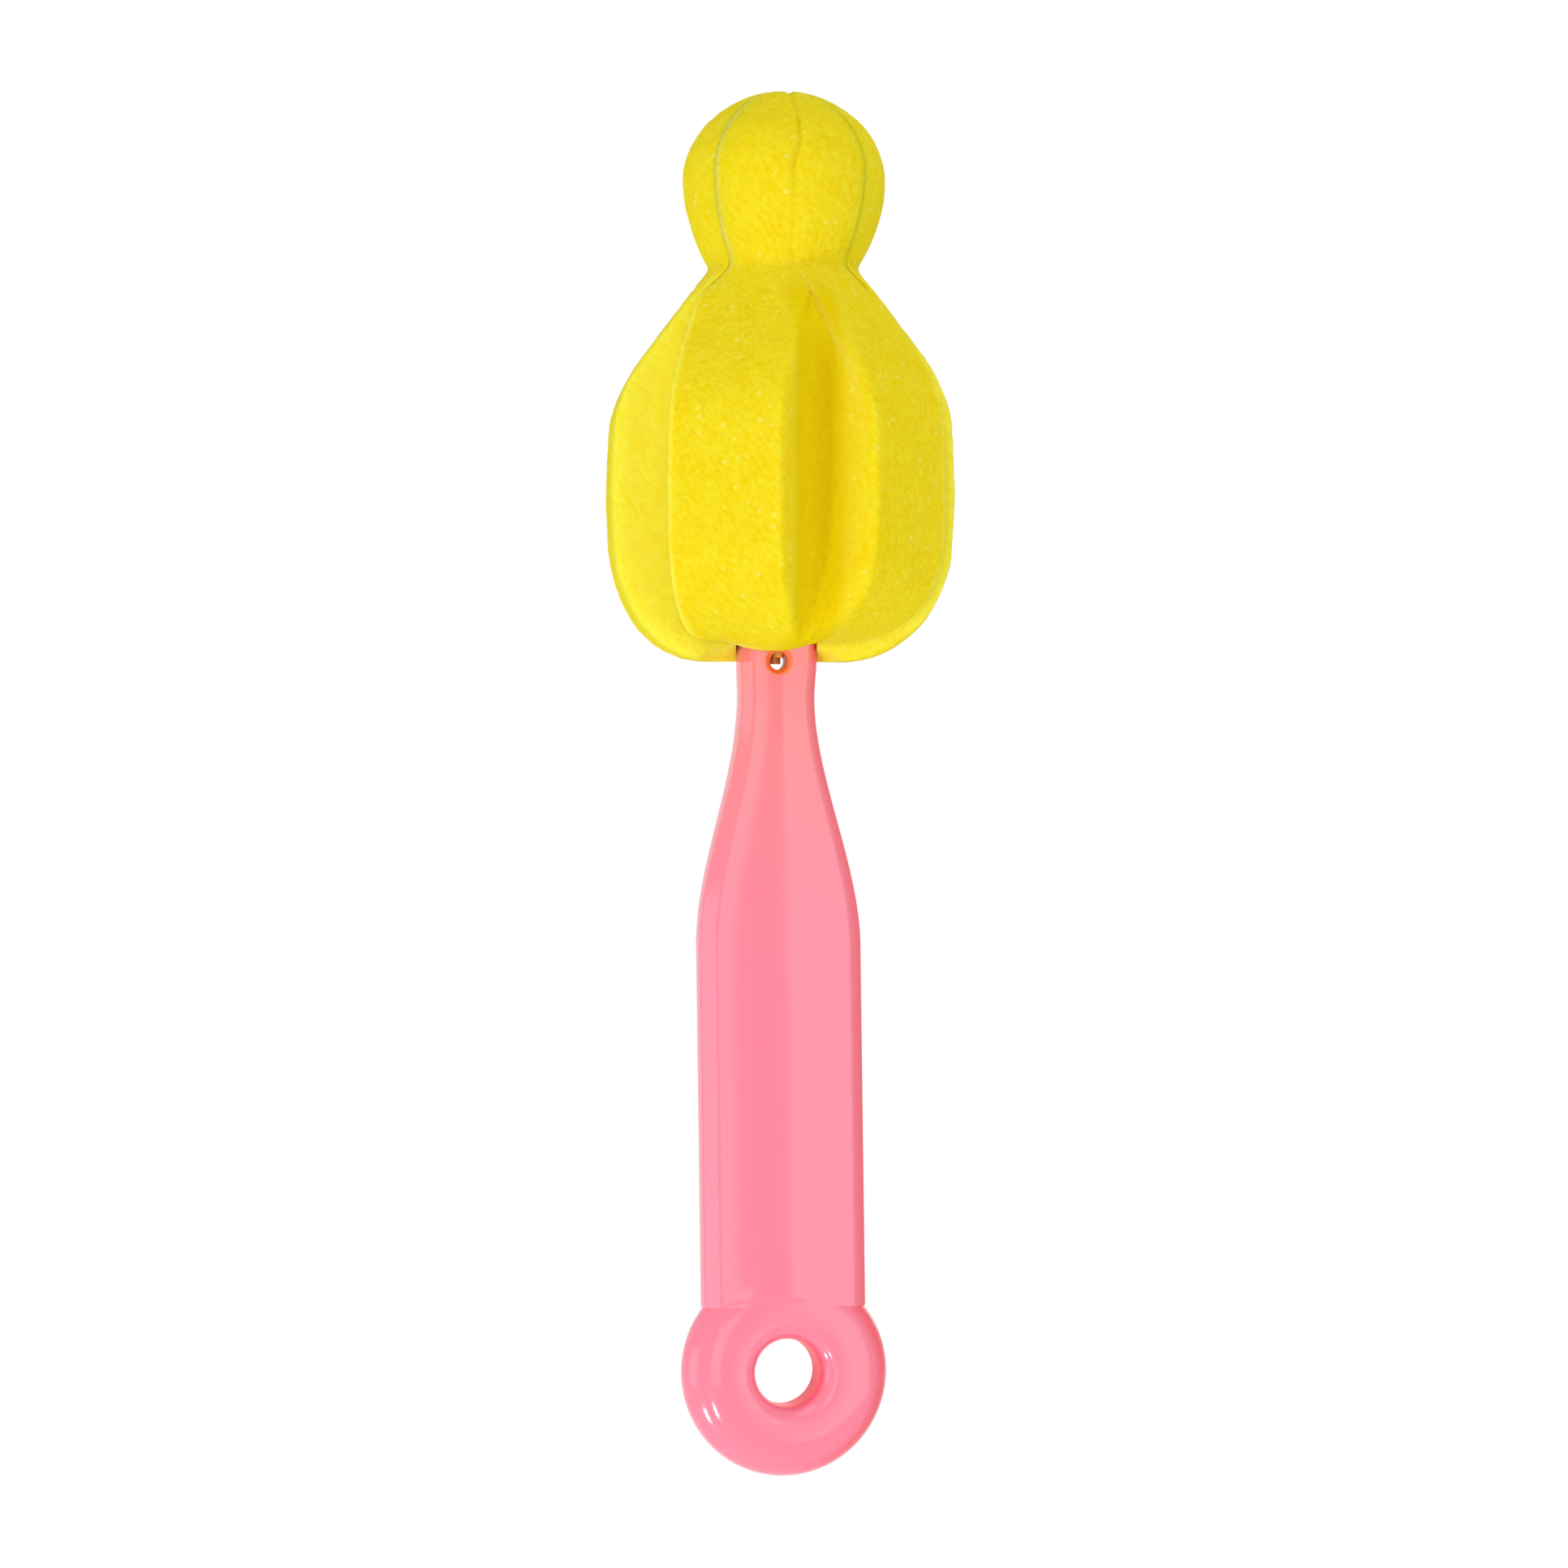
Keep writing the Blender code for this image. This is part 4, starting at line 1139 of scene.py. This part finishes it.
# Name, direction from the brush's middle, distance, size, power, and height where it isn't square
LIGHTS = (
    ("key", (-0.671, -0.419, -0.613), 0.8, 0.11, 1.4),
    ("left", (-0.98, -0.15, -0.08), 1.2, 0.8, 2.1, 0.6),
    ("below", (-0.4, -0.3, -0.86), 1.2, 0.6, 1.0),
    ("top", (-0.2, -0.6, 0.8), 1.0, 0.6, 1.4),
    ("front", (-0.22, -0.97, 0.02), 1.0, 0.35, 0.8, 0.5),
    ("right", (0.52, -0.85, -0.03), 1.3, 0.8, 3.1),
    ("rim", (0.5, 0.8, 0.4), 1.2, 0.9, 1.8),
    ("low_left", (-0.377, -0.768, -0.518), 0.492, 0.03, 0.18, 0.05),
)


def seen_directly(tree):
    """1 for what the camera, a reflection or a see-through surface sees."""
    path = tree.nodes.new("ShaderNodeLightPath").outputs
    seen = math_node(tree, "ADD", path["Is Camera Ray"], path["Is Glossy Ray"])
    return math_node(tree, "ADD", seen, path["Is Transmission Ray"], clamp=True)


def make_world():
    """An even white light, which shows as plain white to the camera and in reflections."""
    world = bpy.data.worlds.new("white_studio")
    bpy.context.scene.world = world
    world.use_nodes = True
    tree = world.node_tree
    tree.nodes.clear()
    white = (1, 1, 1, 1)
    lighting, shown = [
        add_node(tree, "ShaderNodeBackground", {"Color": white, "Strength": strength}).outputs[0]
        for strength in (WORLD_LIGHT, 1.0)
    ]
    both = add_node(tree, "ShaderNodeMixShader", {0: seen_directly(tree), 1: lighting, 2: shown})
    add_node(tree, "ShaderNodeOutputWorld", {"Surface": both.outputs[0]})


def make_floor():
    """A pale floor that reads white, keeps the shadow, and is clear from below."""
    mesh = bpy.data.meshes.new("floor")
    half = FLOOR_SIZE / 2
    corners = [(-half, -half), (half, -half), (half, half), (-half, half)]
    mesh.from_pydata([(x, y, FLOOR_HEIGHT) for x, y in corners], [], [(0, 1, 2, 3)])
    floor = new_object("floor", mesh)
    material = bpy.data.materials.new("pale_floor")
    material.use_nodes = True
    tree = material.node_tree
    tree.nodes.clear()
    matte = add_node(tree, "ShaderNodeBsdfDiffuse", {"Color": FLOOR_GREY}).outputs[0]
    glow = add_node(tree, "ShaderNodeEmission", {"Strength": FLOOR_GLOW}).outputs[0]
    lit = add_node(tree, "ShaderNodeAddShader", {0: matte, 1: glow}).outputs[0]
    shown = add_node(tree, "ShaderNodeMixShader", {0: seen_directly(tree), 1: matte, 2: lit}).outputs[0]
    clear = tree.nodes.new("ShaderNodeBsdfTransparent").outputs[0]
    under = tree.nodes.new("ShaderNodeNewGeometry").outputs["Backfacing"]
    surface = add_node(tree, "ShaderNodeMixShader", {0: under, 1: shown, 2: clear}).outputs[0]
    add_node(tree, "ShaderNodeOutputMaterial", {"Surface": surface})
    mesh.materials.append(material)


def stand_back(name, data, direction, distance):
    """A light or camera in a direction from the brush's middle, turned towards it."""
    obj = new_object(name, data)
    outward = Vector(direction).normalized()
    obj.location = Vector((0, 0, AIM_HEIGHT)) + outward * distance
    obj.rotation_mode = "QUATERNION"
    obj.rotation_quaternion = outward.to_track_quat("Z", "Y")
    return obj


def add_area_light(name, direction, distance, size, power, height=None):
    light = bpy.data.lights.new(name, "AREA")
    light.energy = power
    light.size = size
    if height is not None:
        light.shape = "RECTANGLE"
        light.size_y = height
    stand_back(name, light, direction, distance)


def make_camera():
    data = bpy.data.cameras.new("camera")
    data.sensor_width = SENSOR_WIDTH
    data.lens = SENSOR_WIDTH * CAMERA_DISTANCE / FRAME_WIDTH
    data.clip_start = 10 * MM
    outward = (math.sin(VIEW_AZIMUTH), -math.cos(VIEW_AZIMUTH), 0)
    bpy.context.scene.camera = stand_back("camera", data, outward, CAMERA_DISTANCE)


def main():
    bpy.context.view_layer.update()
    make_camera()
    wire_tree = sweep_tree()
    make_handle()
    make_wire(wire_tree)
    make_foam(wire_tree)
    make_world()
    make_floor()
    for light in LIGHTS:
        add_area_light(*light)
    bpy.context.scene.view_settings.view_transform = "Standard"


main()
